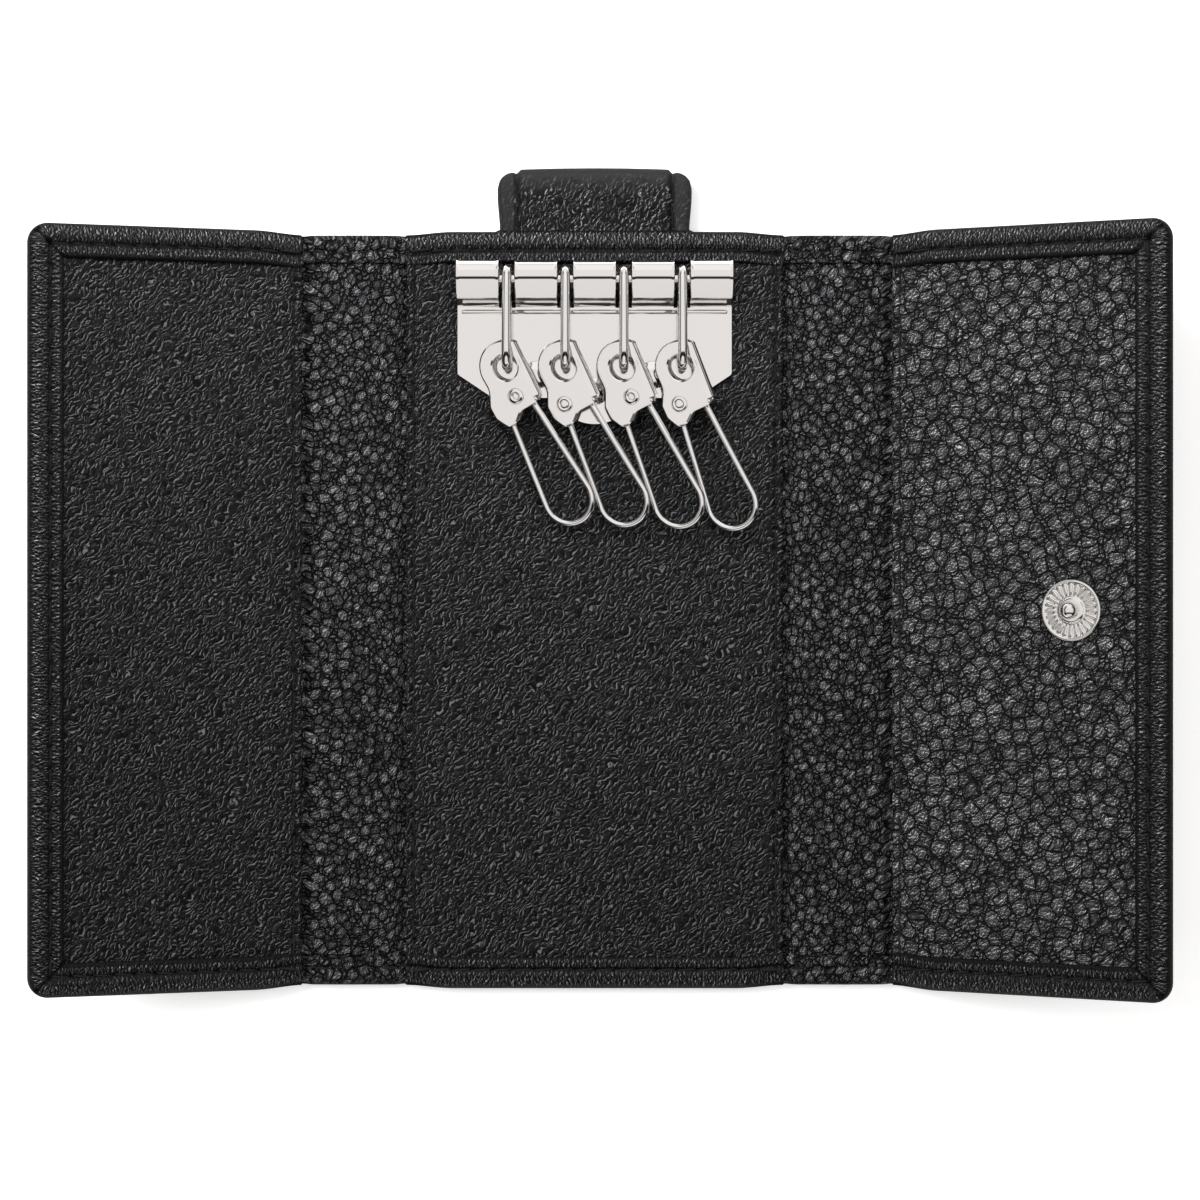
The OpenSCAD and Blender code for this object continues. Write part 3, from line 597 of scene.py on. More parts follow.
def smoothPath(points, steps):
    points = np.array(points, float)
    padded = np.vstack([2 * points[0] - points[1], points, 2 * points[-1] - points[-2]])
    t = np.linspace(0, 1, steps, endpoint=False)[:, None]
    spans = []
    for a, b, c, d in zip(padded, padded[1:], padded[2:], padded[3:]):
        spans.append(0.5 * (2 * b + (c - a) * t + (2 * a - 5 * b + 4 * c - d) * t ** 2
                            + (3 * b - a - 3 * c + d) * t ** 3))
    return np.vstack(spans + [points[-1:]])


def ripple(x, y, length, shift=0.0):  # slow unevenness from -1 to 1, from three slanting waves
    a = 2 * math.pi / length
    return (np.sin(a * (x + 0.4 * y) + shift) * np.sin(a * (0.8 * y - 0.3 * x) + 1.7 + shift)
            + 0.5 * np.sin(a * 1.9 * (0.7 * x - y) + 0.6 + 2 * shift)) / 1.5


def spread(low, high, step, fineAt=(), reach=0.9, fineCount=10):  # even places, closer together at seams
    places = np.linspace(low, high, int((high - low) / step) + 1)
    for at in fineAt:
        fine = at + np.linspace(-reach, reach, fineCount)
        places = np.concatenate([places[np.abs(places - at) > reach], fine])
    return np.unique(places[(places >= low) & (places <= high)])


def gridSurface(points, slot=0, closed=False, marks=None, middle=1.5):  # faces look away from the middle
    rows, columns = points.shape[:2]
    index = np.arange(rows * columns).reshape(rows, columns)
    if closed:
        index = np.hstack([index, index[:, :1]])
    corners = [index[:-1, :-1], index[:-1, 1:], index[1:, 1:], index[1:, :-1]]
    faces = np.stack(corners, axis=-1).reshape(-1, 4)
    flat = points.reshape(-1, 3)
    normal = np.cross(flat[faces[:, 2]] - flat[faces[:, 0]], flat[faces[:, 3]] - flat[faces[:, 1]])
    if np.sum(normal[:, 2] * (flat[faces].mean(axis=1)[:, 2] - middle)) < 0:
        faces = faces[:, ::-1]
    if marks is None:
        marks = np.zeros_like(points)
    return {"points": flat, "faces": faces, "slot": slot, "marks": marks.reshape(-1, 3)}


def linkPiece(name, mesh):
    piece = bpy.data.objects.new(name, mesh)
    bpy.context.scene.collection.objects.link(piece)
    if mesh.materials[0].name.endswith("Leather"):
        leatherPieces.objects.link(piece)
    return piece


def writeMarks(mesh, name, places):
    mark = mesh.attributes.new(name, "FLOAT_VECTOR", "POINT")
    mark.data.foreach_set("vector", places.astype(np.float32).ravel())


def addPiece(name, surfaces, materials, place=None, mirrored=False, solid=False):
    starts = np.cumsum([0] + [len(surface["points"]) for surface in surfaces])
    points = np.vstack([surface["points"] for surface in surfaces])
    marks = np.vstack([surface["marks"] for surface in surfaces])
    faces = np.vstack([surface["faces"] + start for surface, start in zip(surfaces, starts)])
    slots = np.concatenate([np.full(len(surface["faces"]), surface["slot"]) for surface in surfaces])
    flat = points + points[:, 2:] * meshValues["sideShift"]
    if place:
        flat = (flat + meshValues["flapShift"]) * (-1 if mirrored else 1, 1, 1)
        points = place(points)
    if mirrored:
        faces = faces[:, ::-1]
    mesh = bpy.data.meshes.new(name)
    mesh.from_pydata((points * mm).tolist(), [], faces.tolist())
    for material in materials:
        mesh.materials.append(material)
    mesh.polygons.foreach_set("material_index", slots.astype(np.int32))
    writeMarks(mesh, "rimPlace", marks)
    writeMarks(mesh, "flatPlace", flat * mm)
    work = bmesh.new()
    work.from_mesh(mesh)
    bmesh.ops.remove_doubles(work, verts=work.verts, dist=meshValues["weld"] * mm)
    if solid:
        bmesh.ops.recalc_face_normals(work, faces=work.faces)
    for face in work.faces:
        face.smooth = True
    work.to_mesh(mesh)
    work.free()
    return linkPiece(name, mesh)


def rideOn(body, slot, *pieces):  # each piece moves with the body; the slot is not used
    for piece in pieces:
        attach(piece, body)


# Leather sizes, in a panel's own frame: x away from its fold, z up from its outer side

leatherSizes = {
    "hemWidth": 5.1, "stitchInset": 3.15, "rollRadius": 1.95, "seamInset": 1.25,
    "cornerRadius": 3.0, "cornerSteps": 16,
    "foldGap": 0.4, "foldTaper": 7.0, "foldPast": 0.2, "foldPinch": 0.5, "foldLower": 0.2, "step": 0.33,
    "seamLap": 0.3, "liningLap": 0.4, "backLap": 0.5,  # how far each reaches under the hem
}
flapSizes = {"left": {"width": 41.0, "tilt": 18}, "right": {"width": 43.0, "tilt": 26}}
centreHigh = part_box("centre_cover")[1] / mm
halfHeight = centreHigh.y
foldHeight = joints["left_gusset_fold"]["pos_m"][2] / mm
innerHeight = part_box("centre_lining")[1].z / mm
foldPlaces = {name: joints[name + "_fold"]["pos_m"][0] / mm
              for name in ("left_gusset", "left_flap", "right_gusset", "right_flap")}


# Seams: straight rows of stitches, which dent the leather and carry thread

seamValues = {
    "pitch": 3.05, "groove": 0.26, "grooveReach": 0.3, "hole": 0.4, "holeAcross": 0.28, "holeAlong": 0.36,
    "puff": 0.05, "puffPlace": 1.0, "puffReach": 0.6, "past": 0.6, "backMost": 0.3, "backShare": 0.7,
}


def seamLine(start, end):
    start, end = np.array(start, float), np.array(end, float)
    length = np.linalg.norm(end - start)
    count = max(1, round(length / seamValues["pitch"]))
    return {"start": start, "way": (end - start) / length, "length": length, "count": count}


def seamDrop(x, y, seams):
    v = seamValues
    drop = np.zeros_like(x)
    for seam in seams:
        dx, dy = x - seam["start"][0], y - seam["start"][1]
        along = dx * seam["way"][0] + dy * seam["way"][1]
        across = dy * seam["way"][0] - dx * seam["way"][1]
        pitch = seam["length"] / seam["count"]
        near = (along > -v["past"]) & (along < seam["length"] + v["past"])
        hole = (along + pitch / 2) % pitch - pitch / 2
        groove = bellShape(across, v["grooveReach"]) * v["groove"]
        dent = bellShape(across, v["holeAcross"]) * bellShape(hole, v["holeAlong"]) * v["hole"]
        puff = bellShape(np.abs(across) - v["puffPlace"], v["puffReach"]) * v["puff"]
        drop = np.maximum(drop, np.where(near, groove + dent + puff * np.cos(2 * math.pi * along / pitch), 0))
    return drop


def backPrint(drop):  # what a seam's dent leaves on the outer side
    return seamValues["backShare"] * np.minimum(drop, seamValues["backMost"])


threadShape = {
    "radius": 0.17, "gap": 0.06, "slant": 0.24, "arch": 0.17, "sunk": 0.12, "endShare": 0.55,
    "flatShare": 0.8, "steps": 8, "sides": 6, "middle": 0.02, "archPower": 0.6, "fatPower": 0.4,
    "hemDepth": 0.38, "liningDepth": 0.17, "backHeight": 0.16,  # how deep it lies in hem, lining and back
}


def threadSurfaces(seams, height, up=1):
    v = threadShape
    surfaces = []
    t = np.linspace(0, 1, v["steps"])
    ring = np.linspace(0, 2 * math.pi, v["sides"] + 1)[:-1]
    arch = v["arch"] * np.sin(math.pi * t) ** v["archPower"] - v["sunk"]
    fat = v["radius"] * (v["endShare"] + (1 - v["endShare"]) * np.sin(math.pi * t) ** v["fatPower"])
    for seam in seams:
        pitch = seam["length"] / seam["count"]
        side = np.array([-seam["way"][1], seam["way"][0]])
        for k in range(seam["count"]):
            along = (k + v["gap"] + (1 - 2 * v["gap"]) * t) * pitch
            middle = seam["start"] + along[:, None] * seam["way"] + (t[:, None] - 0.5) * v["slant"] * side
            x = middle[:, :1] + side[0] * fat[:, None] * np.cos(ring)
            y = middle[:, 1:] + side[1] * fat[:, None] * np.cos(ring)
            z = height + up * arch[:, None] + fat[:, None] * np.sin(ring) * v["flatShare"]
            marks = np.stack([along[:, None] + 0 * x, ring + 0 * x, 0 * x], -1)
            surfaces.append(gridSurface(np.stack([x, y, z], -1), closed=True, marks=marks,
                                        middle=height + up * v["middle"]))
    return surfaces


def addThread(name, fronts, backs, place=None, mirrored=False):
    surfaces = []
    for seams, height in fronts:
        surfaces += threadSurfaces(seams, height)
    surfaces += threadSurfaces(backs, threadShape["backHeight"], -1)
    return addPiece(name, surfaces, [threadCord], place, mirrored)


# The turned-over rim: how far in from the edge, and height, from the hem's lip over the roll to the back

rimValues = {
    "rise": 0.04, "rollPast": 0.2, "arcStart": 0.12, "arcSteps": 15, "smoothSteps": 3,
    # from the hem's inner edge and from the stitches, at the top
    "lip": ((-0.12, -1.0), (0.02, -0.62), (-0.05, -0.3), (-0.28, -0.12), (-0.7, -0.06)),
    "dip": ((0.75, -0.06), (0.3, -0.12), (-0.3, -0.12), (-0.8, 0)),
    # from the roll, the stitches and the hem's inner edge, on the back
    "backRoll": ((0.5, 0.02),), "backSeam": ((-0.4, 0.03), (0, 0.04), (0.5, 0.03)),
    "backEnd": ((-0.6, 0.02), (0.2, 0.12), (1.0, 0.35)),
    "topShares": (0.55, 0.85), "backLow": 0.1, "backShare": 0.3,
    "gatherHeights": (0.07, 0.03), "gatherShifts": (0, 2.0),
    "flapGathers": (4.3, 1.7), "centreGathers": (4.7, 1.6),
    "endTrim": 8, "endShares": (0.93, 0.6, 0.02), "endReaches": (0.12, 0.2, 0.2),
}


def rimProfile(top, hem, roll):
    v = rimValues
    stitch = leatherSizes["stitchInset"] * hem / leatherSizes["hemWidth"]
    turns = np.linspace(v["arcStart"], math.pi - v["arcStart"], v["arcSteps"])
    arc = [(roll * (1 - math.sin(a)), top / 2 + top / 2 * math.cos(a)) for a in turns]
    front = around(hem, top, v["lip"]) + around(stitch, top, v["dip"])
    back = around(roll, 0, v["backRoll"]) + around(stitch, 0, v["backSeam"]) + around(hem, 0, v["backEnd"])
    return smoothPath(front + [(roll + v["rollPast"], top + v["rise"])] + arc + back, v["smoothSteps"])


def closeEnd(section, way):  # a cut end shrinks to the middle of its section
    trim = rimValues["endTrim"]
    middle = section[trim:-trim].mean(axis=0)
    rings = np.stack([middle + (section - middle) * k for k in rimValues["endShares"]], 1)
    rings[:, :, 0] += way * np.array(rimValues["endReaches"])
    return rings


def closeEnds(points, marks, ways):
    first, last = closeEnd(points[:, 0], ways[0])[:, ::-1], closeEnd(points[:, -1], ways[1])
    count = len(rimValues["endShares"])
    points = np.concatenate([first, points, last], axis=1)
    marks = np.concatenate([marks[:, :1].repeat(count, 1), marks, marks[:, -1:].repeat(count, 1)], axis=1)
    return points, marks


def rimGathers(along, lengths, shift=0):  # slow and quick unevenness along a rim
    heights, shifts = rimValues["gatherHeights"], rimValues["gatherShifts"]
    return sum(height * ripple(along, 0 * along, length, turn + shift)
               for height, length, turn in zip(heights, lengths, shifts))


def pressRim(z, drop, gather):  # the rim with its seams, and how much each place is on its top
    v, top = rimValues, centreHigh.z
    onTop = smoothStep(z, top * v["topShares"][0], top * v["topShares"][1])
    onBack = 1 - smoothStep(z, v["backLow"], top * v["backShare"])
    return z - onTop * (drop - gather) + onBack * backPrint(drop), onTop


def narrowAtFold(y, z, away, onTop):  # a rim gets thinner and is drawn in towards a fold
    s = leatherSizes
    fold = 1 - smoothStep(away, -s["foldPast"], s["foldTaper"])
    return y - np.sign(y) * s["foldPinch"] * fold, z * (1 - s["foldLower"] * fold * onTop)


def panelPlace(side, foldX, tilt):
    turn = math.radians(tilt)

    def place(p):
        x, z = p[:, 0], p[:, 2] - foldHeight
        return np.column_stack([foldX + side * (x * math.cos(turn) - z * math.sin(turn)), p[:, 1],
                                foldHeight + x * math.sin(turn) + z * math.cos(turn)])
    return place


# Flap: one rim runs round its three free sides, with a mitred pleat and a fan of gathers at each corner

pleatValues = {
    "inset": 1.3, "foldReach": 0.24, "foldDepth": 0.34, "foldDark": 0.8,
    "holeReach": 0.34, "holeDepth": 0.5, "holeDark": 0.9,
    "fans": 11, "fanDepth": 0.1, "fanPlace": 3.2, "fanReach": 1.8, "fanPast": 0.5, "seamStart": 0.5,
}


def flapEdge(start, width, radius):  # places along the free sides, and the way inwards from each
    step = leatherSizes["step"]
    turns = np.radians(np.linspace(90, 0, leatherSizes["cornerSteps"]))
    top = np.linspace(start, width - radius, int((width - radius - start) / step), endpoint=False)
    side = np.linspace(halfHeight - radius, -halfHeight + radius, int(2 * (halfHeight - radius) / step))[1:-1]
    edge = [(x, halfHeight, 0, -1) for x in top]
    edge += [(width - radius + radius * math.cos(a), halfHeight - radius + radius * math.sin(a),
              -math.cos(a), -math.sin(a)) for a in turns]
    lower = [(x, -y, nx, -ny) for x, y, nx, ny in edge[::-1]]
    return np.array(edge + [(width, y, -1, 0) for y in side] + lower)


def creaseShape(x, y, start, end, reach):  # 1 along a line, falling off around it
    start, end = np.array(start, float), np.array(end, float)
    length = np.linalg.norm(end - start)
    way = (end - start) / length
    along = (x - start[0]) * way[0] + (y - start[1]) * way[1]
    across = (y - start[1]) * way[0] - (x - start[0]) * way[1]
    past = np.maximum(0, np.abs(along - length / 2) - length / 2)
    return bellShape(across, reach) * bellShape(past, reach)


def cornerPleats(x, y, width):  # depth of the pleats and gathers, and the share of light left by painted shade in pleats and holes
    v, hem = pleatValues, leatherSizes["hemWidth"]
    drop, shown = np.zeros_like(x), np.ones_like(x)
    for sign in (-1, 1):
        outer = (width - v["inset"], sign * (halfHeight - v["inset"]))
        inner = (width - hem, sign * (halfHeight - hem))
        fold = creaseShape(x, y, outer, inner, v["foldReach"])
        hole = bellShape(np.hypot(x - outer[0], y - outer[1]), v["holeReach"])
        drop += v["foldDepth"] * fold + v["holeDepth"] * hole
        shown *= (1 - v["foldDark"] * fold) * (1 - v["holeDark"] * hole)
        away = np.hypot(x - inner[0], y - inner[1])
        fan = np.cos(v["fans"] * np.arctan2(sign * y - sign * inner[1], x - inner[0]))
        inCorner = (x > inner[0] - v["fanPast"]) & (sign * y > halfHeight - hem - v["fanPast"])
        drop += v["fanDepth"] * fan * bellShape(away - v["fanPlace"], v["fanReach"]) * inCorner
    return drop, shown


def flapRim(width):
    s = leatherSizes
    start, low = s["foldGap"], s["foldGap"] + pleatValues["seamStart"]
    edge = flapEdge(start, width, s["cornerRadius"])
    along = np.concatenate([[0], np.cumsum(np.linalg.norm(np.diff(edge[:, :2], axis=0), axis=1))])
    profile = rimProfile(centreHigh.z, s["hemWidth"], s["rollRadius"])
    d = profile[:, :1]
    x = np.minimum(edge[:, 0] + edge[:, 2] * d, width - d)
    y = np.clip(edge[:, 1] + edge[:, 3] * d, -(halfHeight - d), halfHeight - d)
    z = np.broadcast_to(profile[:, 1:], x.shape)
    right, top = width - s["stitchInset"], halfHeight - s["stitchInset"]
    seams = [seamLine((low, top), (right, top)), seamLine((right, -top), (low, -top)),
             seamLine((right, top), (right, -top))]
    pleats, shown = cornerPleats(x, y, width)
    z, onTop = pressRim(z, seamDrop(x, y, seams) + pleats, rimGathers(along, rimValues["flapGathers"]))
    y, z = narrowAtFold(y, z, x - start, onTop)
    # the third mark carries the painted shade of the corner pleats and holes
    marks = np.stack([np.broadcast_to(along, x.shape), np.broadcast_to(d, x.shape), shown], -1)
    points, marks = closeEnds(np.stack([x, y, z], -1), marks, (-1, -1))
    return gridSurface(points, 0, marks=marks, middle=centreHigh.z / 2), seams


# Inner leather between the hems: its open sides are rounded down to the outer leather

liningValues = {
    # in from an open side, and height
    "turned": ((0.0, -1.9), (-0.02, -1.2), (0.0, -0.6), (0.08, -0.25), (0.28, -0.05)),
    "turnedWidth": 0.6, "flatFrom": -0.3, "puff": 0.09, "puffLength": 17, "endDip": 0.12, "endReach": 0.9,
    "backStep": 0.8,
}


def liningSurface(low, high, half, seams, openSides):
    v, step = liningValues, leatherSizes["step"]
    inward, heights = np.array(v["turned"]).T
    xs = spread(low + v["turnedWidth"] * openSides[0], high - v["turnedWidth"] * openSides[1], step,
                [seam["start"][0] for seam in seams])
    drops = np.zeros_like(xs)
    if openSides[0]:
        xs, drops = np.concatenate([low + inward, xs]), np.concatenate([heights, drops])
    if openSides[1]:
        xs, drops = np.concatenate([xs, high - inward[::-1]]), np.concatenate([drops, heights[::-1]])
    x, y = np.meshgrid(xs, np.linspace(-half, half, int(2 * half / step)))
    puff = v["puff"] * ripple(x, y, v["puffLength"])
    puff = puff - v["endDip"] * bellShape(half - np.abs(y), v["endReach"])
    z = innerHeight + drops + (drops > v["flatFrom"]) * (puff - seamDrop(x, y, seams))
    return gridSurface(np.stack([x, y, z], -1), 1)


def backSurface(low, high, half, seams):
    x, y = np.meshgrid(spread(low, high, liningValues["backStep"], [seam["start"][0] for seam in seams]),
                       np.linspace(-half, half, int(2 * half / leatherSizes["step"])))
    return gridSurface(np.stack([x, y, backPrint(seamDrop(x, y, seams))], -1), 2)


hemThreadHeight = centreHigh.z - threadShape["hemDepth"]
liningThreadHeight = innerHeight - threadShape["liningDepth"]


def buildFlap(side, sizes, lining, slot):
    s = leatherSizes
    sign = -1 if side == "left" else 1
    width, start, hem = sizes["width"], s["foldGap"], s["hemWidth"]
    body = side + "_flap"
    place = panelPlace(sign, foldPlaces[body], sizes["tilt"])
    rim, seams = flapRim(width)
    seamX, seamEnd = start + s["seamInset"], halfHeight - hem + s["seamLap"]
    foldSeam = seamLine((seamX, seamEnd), (seamX, -seamEnd))
    under, behind = hem - s["liningLap"], hem - s["backLap"]
    inner = liningSurface(start, width - under, halfHeight - under, [foldSeam], (True, False))
    back = backSurface(start, width - behind, halfHeight - behind, [foldSeam])
    piece = addPiece(side + "FlapLeather", [rim, inner, back], [rimLeather, lining, pebbleLeather], place,
                     sign < 0)
    thread = addThread(side + "FlapThread", [(seams, hemThreadHeight), ([foldSeam], liningThreadHeight)],
                       seams + [foldSeam], place, sign < 0)
    rideOn(body, slot, piece)
    rideOn(body, "fine_leather", thread)
    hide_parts(body + "_cover", body + "_lining")


buildFlap("left", flapSizes["left"], fineLeather, "fine_leather")
buildFlap("right", flapSizes["right"], pebbleLeather, "pebble_leather")
print("flaps ready")


# Pull tab: a doubled strap, puffed between its two seams, with a flat ear outside each

tabValues = {
    "cornerRadius": 2.3, "seamInset": 2.9, "rootHalf": 0.9, "foldHalf": 1.62, "earHalf": 1.15, "earDrop": 0.4,
    "edgeRound": 0.85, "waist": 0.35, "root": 0.3, "step": 0.3, "fineReach": 1.2, "fineCount": 16,
    "rises": 44, "foldSteps": 17, "endBow": 0.35, "endNotch": 0.3, "notchReach": 0.35,
    "dropStep": (-0.8, 0.5), "earStep": (-0.9, 0.3),  # from the seam: where the end drops, the ear gets thin
    "seamTop": 1.6, "seamRoot": 0.3, "fatFrom": -1, "fatTo": 3,
    "seamPinch": 0.42, "pinchReach": 0.45, "seamShare": 0.8,
    # height, shares of x and y, length and shift of each wave
    "puffs": ((0.16, 1.1, 1.6, 7.5, 0.0), (0.07, 1.3, 2, 3.1, 1.0)),
    "puffFrom": 2.5, "puffRoot": 2, "waistEnd": 4,
    "grainTop": (0.6, 4.6), "grainEar": 0.25, "grainStep": (-0.8, 0.6), "threadShare": 0.52,
}
tabLow, tabHigh = (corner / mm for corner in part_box("pull_tab"))


def tabOutline(xs, half, stitch):  # at each place across: where the strap ends, and half its thickness there
    v = tabValues
    away = np.abs(xs)

    def quarter(radius, most=1.0):  # falls round to nought over the last stretch before the side
        return np.sqrt(np.clip(1 - np.clip((away - half + radius) / radius, 0, most) ** 2, 0, 1))
    end = tabHigh.y - v["cornerRadius"] * (1 - quarter(v["cornerRadius"]))
    end -= v["earDrop"] * smoothStep(away, stitch + v["dropStep"][0], stitch + v["dropStep"][1])
    end -= v["endBow"] * (away / half) ** 2 + v["endNotch"] * bellShape(away - stitch, v["notchReach"])
    ear = smoothStep(away, stitch + v["earStep"][0], stitch + v["earStep"][1])
    return end, quarter(v["edgeRound"], 0.999), v["foldHalf"] + (v["earHalf"] - v["foldHalf"]) * ear


def tabColumn(x, end, thin, fat, middle):  # from the root over the back, round the fold and down the front
    v = tabValues
    fat = fat * thin
    root = tabLow.y + v["root"]
    y = root + (end - fat - root) * np.linspace(0, 1, v["rises"])
    turns = np.linspace(-math.pi / 2, math.pi / 2, v["foldSteps"] + 2)[1:-1]
    low = v["rootHalf"] * thin
    depth = low + (fat - low) * smoothStep(y, halfHeight + v["fatFrom"], tabHigh.y - v["fatTo"])
    columnY = np.concatenate([y, end - fat + fat * np.cos(turns), y[::-1]])
    columnZ = np.concatenate([-depth, fat * np.sin(turns), depth[::-1]])
    return np.stack([np.full_like(columnY, x), columnY, middle + columnZ], -1)


def tabSurface():
    v = tabValues
    half, middle = tabHigh.x, (tabLow.z + tabHigh.z) / 2
    stitch = half - v["seamInset"]
    xs = spread(-half, half, v["step"], (-stitch, stitch), v["fineReach"], v["fineCount"])
    seams = [seamLine((sign * stitch, tabHigh.y - v["seamTop"]), (sign * stitch, halfHeight + v["seamRoot"]))
             for sign in (-1, 1)]
    points = np.array([tabColumn(*column, middle) for column in zip(xs, *tabOutline(xs, half, stitch))])
    x, y, z = points[..., 0], points[..., 1], points[..., 2]
    away, over = np.abs(x), (z - middle) / v["foldHalf"]
    pinch = v["seamPinch"] * bellShape(away - stitch, v["pinchReach"])
    pinch = pinch + seamDrop(x, y, seams) * v["seamShare"]
    wave = sum(height * ripple(x * a, y * b, length, shift) for height, a, b, length, shift in v["puffs"])
    inside = smoothStep(stitch - away, 0, v["puffFrom"])
    inside = inside * smoothStep(y, halfHeight, halfHeight + v["puffRoot"])
    z = z - over * (pinch - wave * inside)
    ear = v["grainEar"] + (1 - v["grainEar"]) * smoothStep(stitch - away, *v["grainStep"])
    marks = np.stack([x, y, smoothStep(tabHigh.y - y, *v["grainTop"]) * ear], -1)
    draw = 1 - smoothStep(y, halfHeight, tabHigh.y - v["waistEnd"])
    x = x - np.sign(x) * v["waist"] * draw * smoothStep(away, stitch, half)
    return gridSurface(np.stack([x, y, z], -1), marks=marks, middle=middle), seams, middle


def buildTab():
    surface, seams, middle = tabSurface()
    rise = tabValues["foldHalf"] * tabValues["threadShare"]
    threads = [part for up in (1, -1) for part in threadSurfaces(seams, middle + up * rise, up)]
    piece = addPiece("tabLeather", [surface], [tabLeather])
    thread = addPiece("tabThread", threads, [threadCord])
    rideOn("root", "fine_leather", piece, thread)
    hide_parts("pull_tab")


buildTab()
print("tab ready")


# Centre panel: a rim at top and bottom, open at both folds

centreValues = {
    "hemShare": 0.93, "seamEnd": 0.6, "sideSeam": 0.15,
    "bulgeHeight": 0.22, "bulgeReach": 0.3, "bulgeEdge": 0.25, "bulgeRange": (-2.5, -0.5),
    "pleatDepth": 0.3, "pleatPlace": 0.1, "pleatReach": 0.22,
}


def straightRim(edge, sign, hem, bulge=None):
    s, v = leatherSizes, centreValues
    profile = rimProfile(centreHigh.z, hem, s["rollRadius"])
    places = np.linspace(-edge, edge, int(2 * edge / s["step"]))
    x, d = np.broadcast_arrays(places, profile[:, :1])
    y, z = sign * (halfHeight - d), np.broadcast_to(profile[:, 1:], x.shape)
    seamX, seamY = edge - v["seamEnd"], sign * (halfHeight - s["stitchInset"] * hem / s["hemWidth"])
    seam = seamLine((-seamX, seamY), (seamX, seamY))
    z, onTop = pressRim(z, seamDrop(x, y, [seam]), rimGathers(x, rimValues["centreGathers"], sign))
    if bulge:  # the rim swells over the tab that is sewn into it
        over = smoothStep(bulge - np.abs(x), -v["bulgeEdge"], v["bulgeEdge"])
        pleat = v["pleatDepth"] * bellShape(np.abs(x) - bulge - v["pleatPlace"], v["pleatReach"])
        z = z + onTop * (over * v["bulgeHeight"] - pleat)
        y = y + sign * over * v["bulgeReach"] * smoothStep(-d, *v["bulgeRange"])
    y, z = narrowAtFold(y, z, edge - np.abs(x), onTop)
    points, marks = closeEnds(np.stack([x, y, z], -1), np.stack([x, d, np.ones_like(x)], -1), (-1, 1))
    return gridSurface(points, 0, marks=marks, middle=centreHigh.z / 2), seam


def buildCentre():
    s = leatherSizes
    edge = -foldPlaces["left_gusset"] - s["foldGap"]
    hem = s["hemWidth"] * centreValues["hemShare"]
    topRim, topSeam = straightRim(edge, 1, hem, tabHigh.x)
    lowRim, lowSeam = straightRim(edge, -1, hem)
    sideX, sideY = edge - s["seamInset"] + centreValues["sideSeam"], halfHeight - hem + s["seamLap"]
    sideSeams = [seamLine((x, sideY), (x, -sideY)) for x in (-sideX, sideX)]
    lining = liningSurface(-edge, edge, halfHeight - hem + s["liningLap"], sideSeams, (True, True))
    back = backSurface(-edge, edge, halfHeight - hem + s["backLap"], sideSeams)
    surfaces, hemSeams = [topRim, lowRim, lining, back], [topSeam, lowSeam]
    piece = addPiece("centreLeather", surfaces, [rimLeather, fineLeather, pebbleLeather])
    thread = addThread("centreThread", [(hemSeams, hemThreadHeight), (sideSeams, liningThreadHeight)],
                       hemSeams + sideSeams)
    rideOn("root", "fine_leather", piece, thread)
    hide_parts("centre_cover", "centre_lining")


buildCentre()
print("centre ready")


# Gussets: a leather sleeve each, in two halves, each over one fold; the outer half is bent to the flap's tilt

gussetValues = {
    "rimRise": 0.8, "hem": 4.2, "drawIn": 0.5, "reach": 1.3, "pinch": 0.1, "seamEnd": 0.9, "threadDepth": 0.3,
    "creaseDepth": 0.75, "creaseReach": 0.75, "bulge": 0.65, "endShare": 0.35, "endRange": (0.6, 2.2),
    "liningGap": 0.1, "backGap": 1.4, "backSteps": 120, "flatBelow": 0.4, "flatHeight": 0.02,
    "topShares": (0.6, 0.95), "rimRipple": (0.08, 3.1), "ripple": (0.06, 9), "rimShift": 40,
}


def gussetSection(half, top):  # round the sleeve: y, height, whether it is rim, and how far in from the edge
    v = gussetValues
    profile = rimProfile(top, v["hem"], top / 2)
    d, heights, flat = profile[:, 0], profile[:, 1], half - v["hem"] - v["liningGap"]
    lining = np.linspace(-flat, flat, int(2 * half / leatherSizes["step"]))
    backEnd = half - v["hem"] - v["backGap"]
    back = np.linspace(backEnd, -backEnd, v["backSteps"])
    heights = np.where(heights < v["flatBelow"], v["flatHeight"], heights)
    return np.concatenate([
        (lining, np.full_like(lining, foldHeight), 0 * lining, 0 * lining),
        (half - d, heights, np.ones_like(d), d),
        (back, 0 * back, 0 * back, 0 * back),
        (d[::-1] - half, heights[::-1], np.ones_like(d), d[::-1])], axis=1)


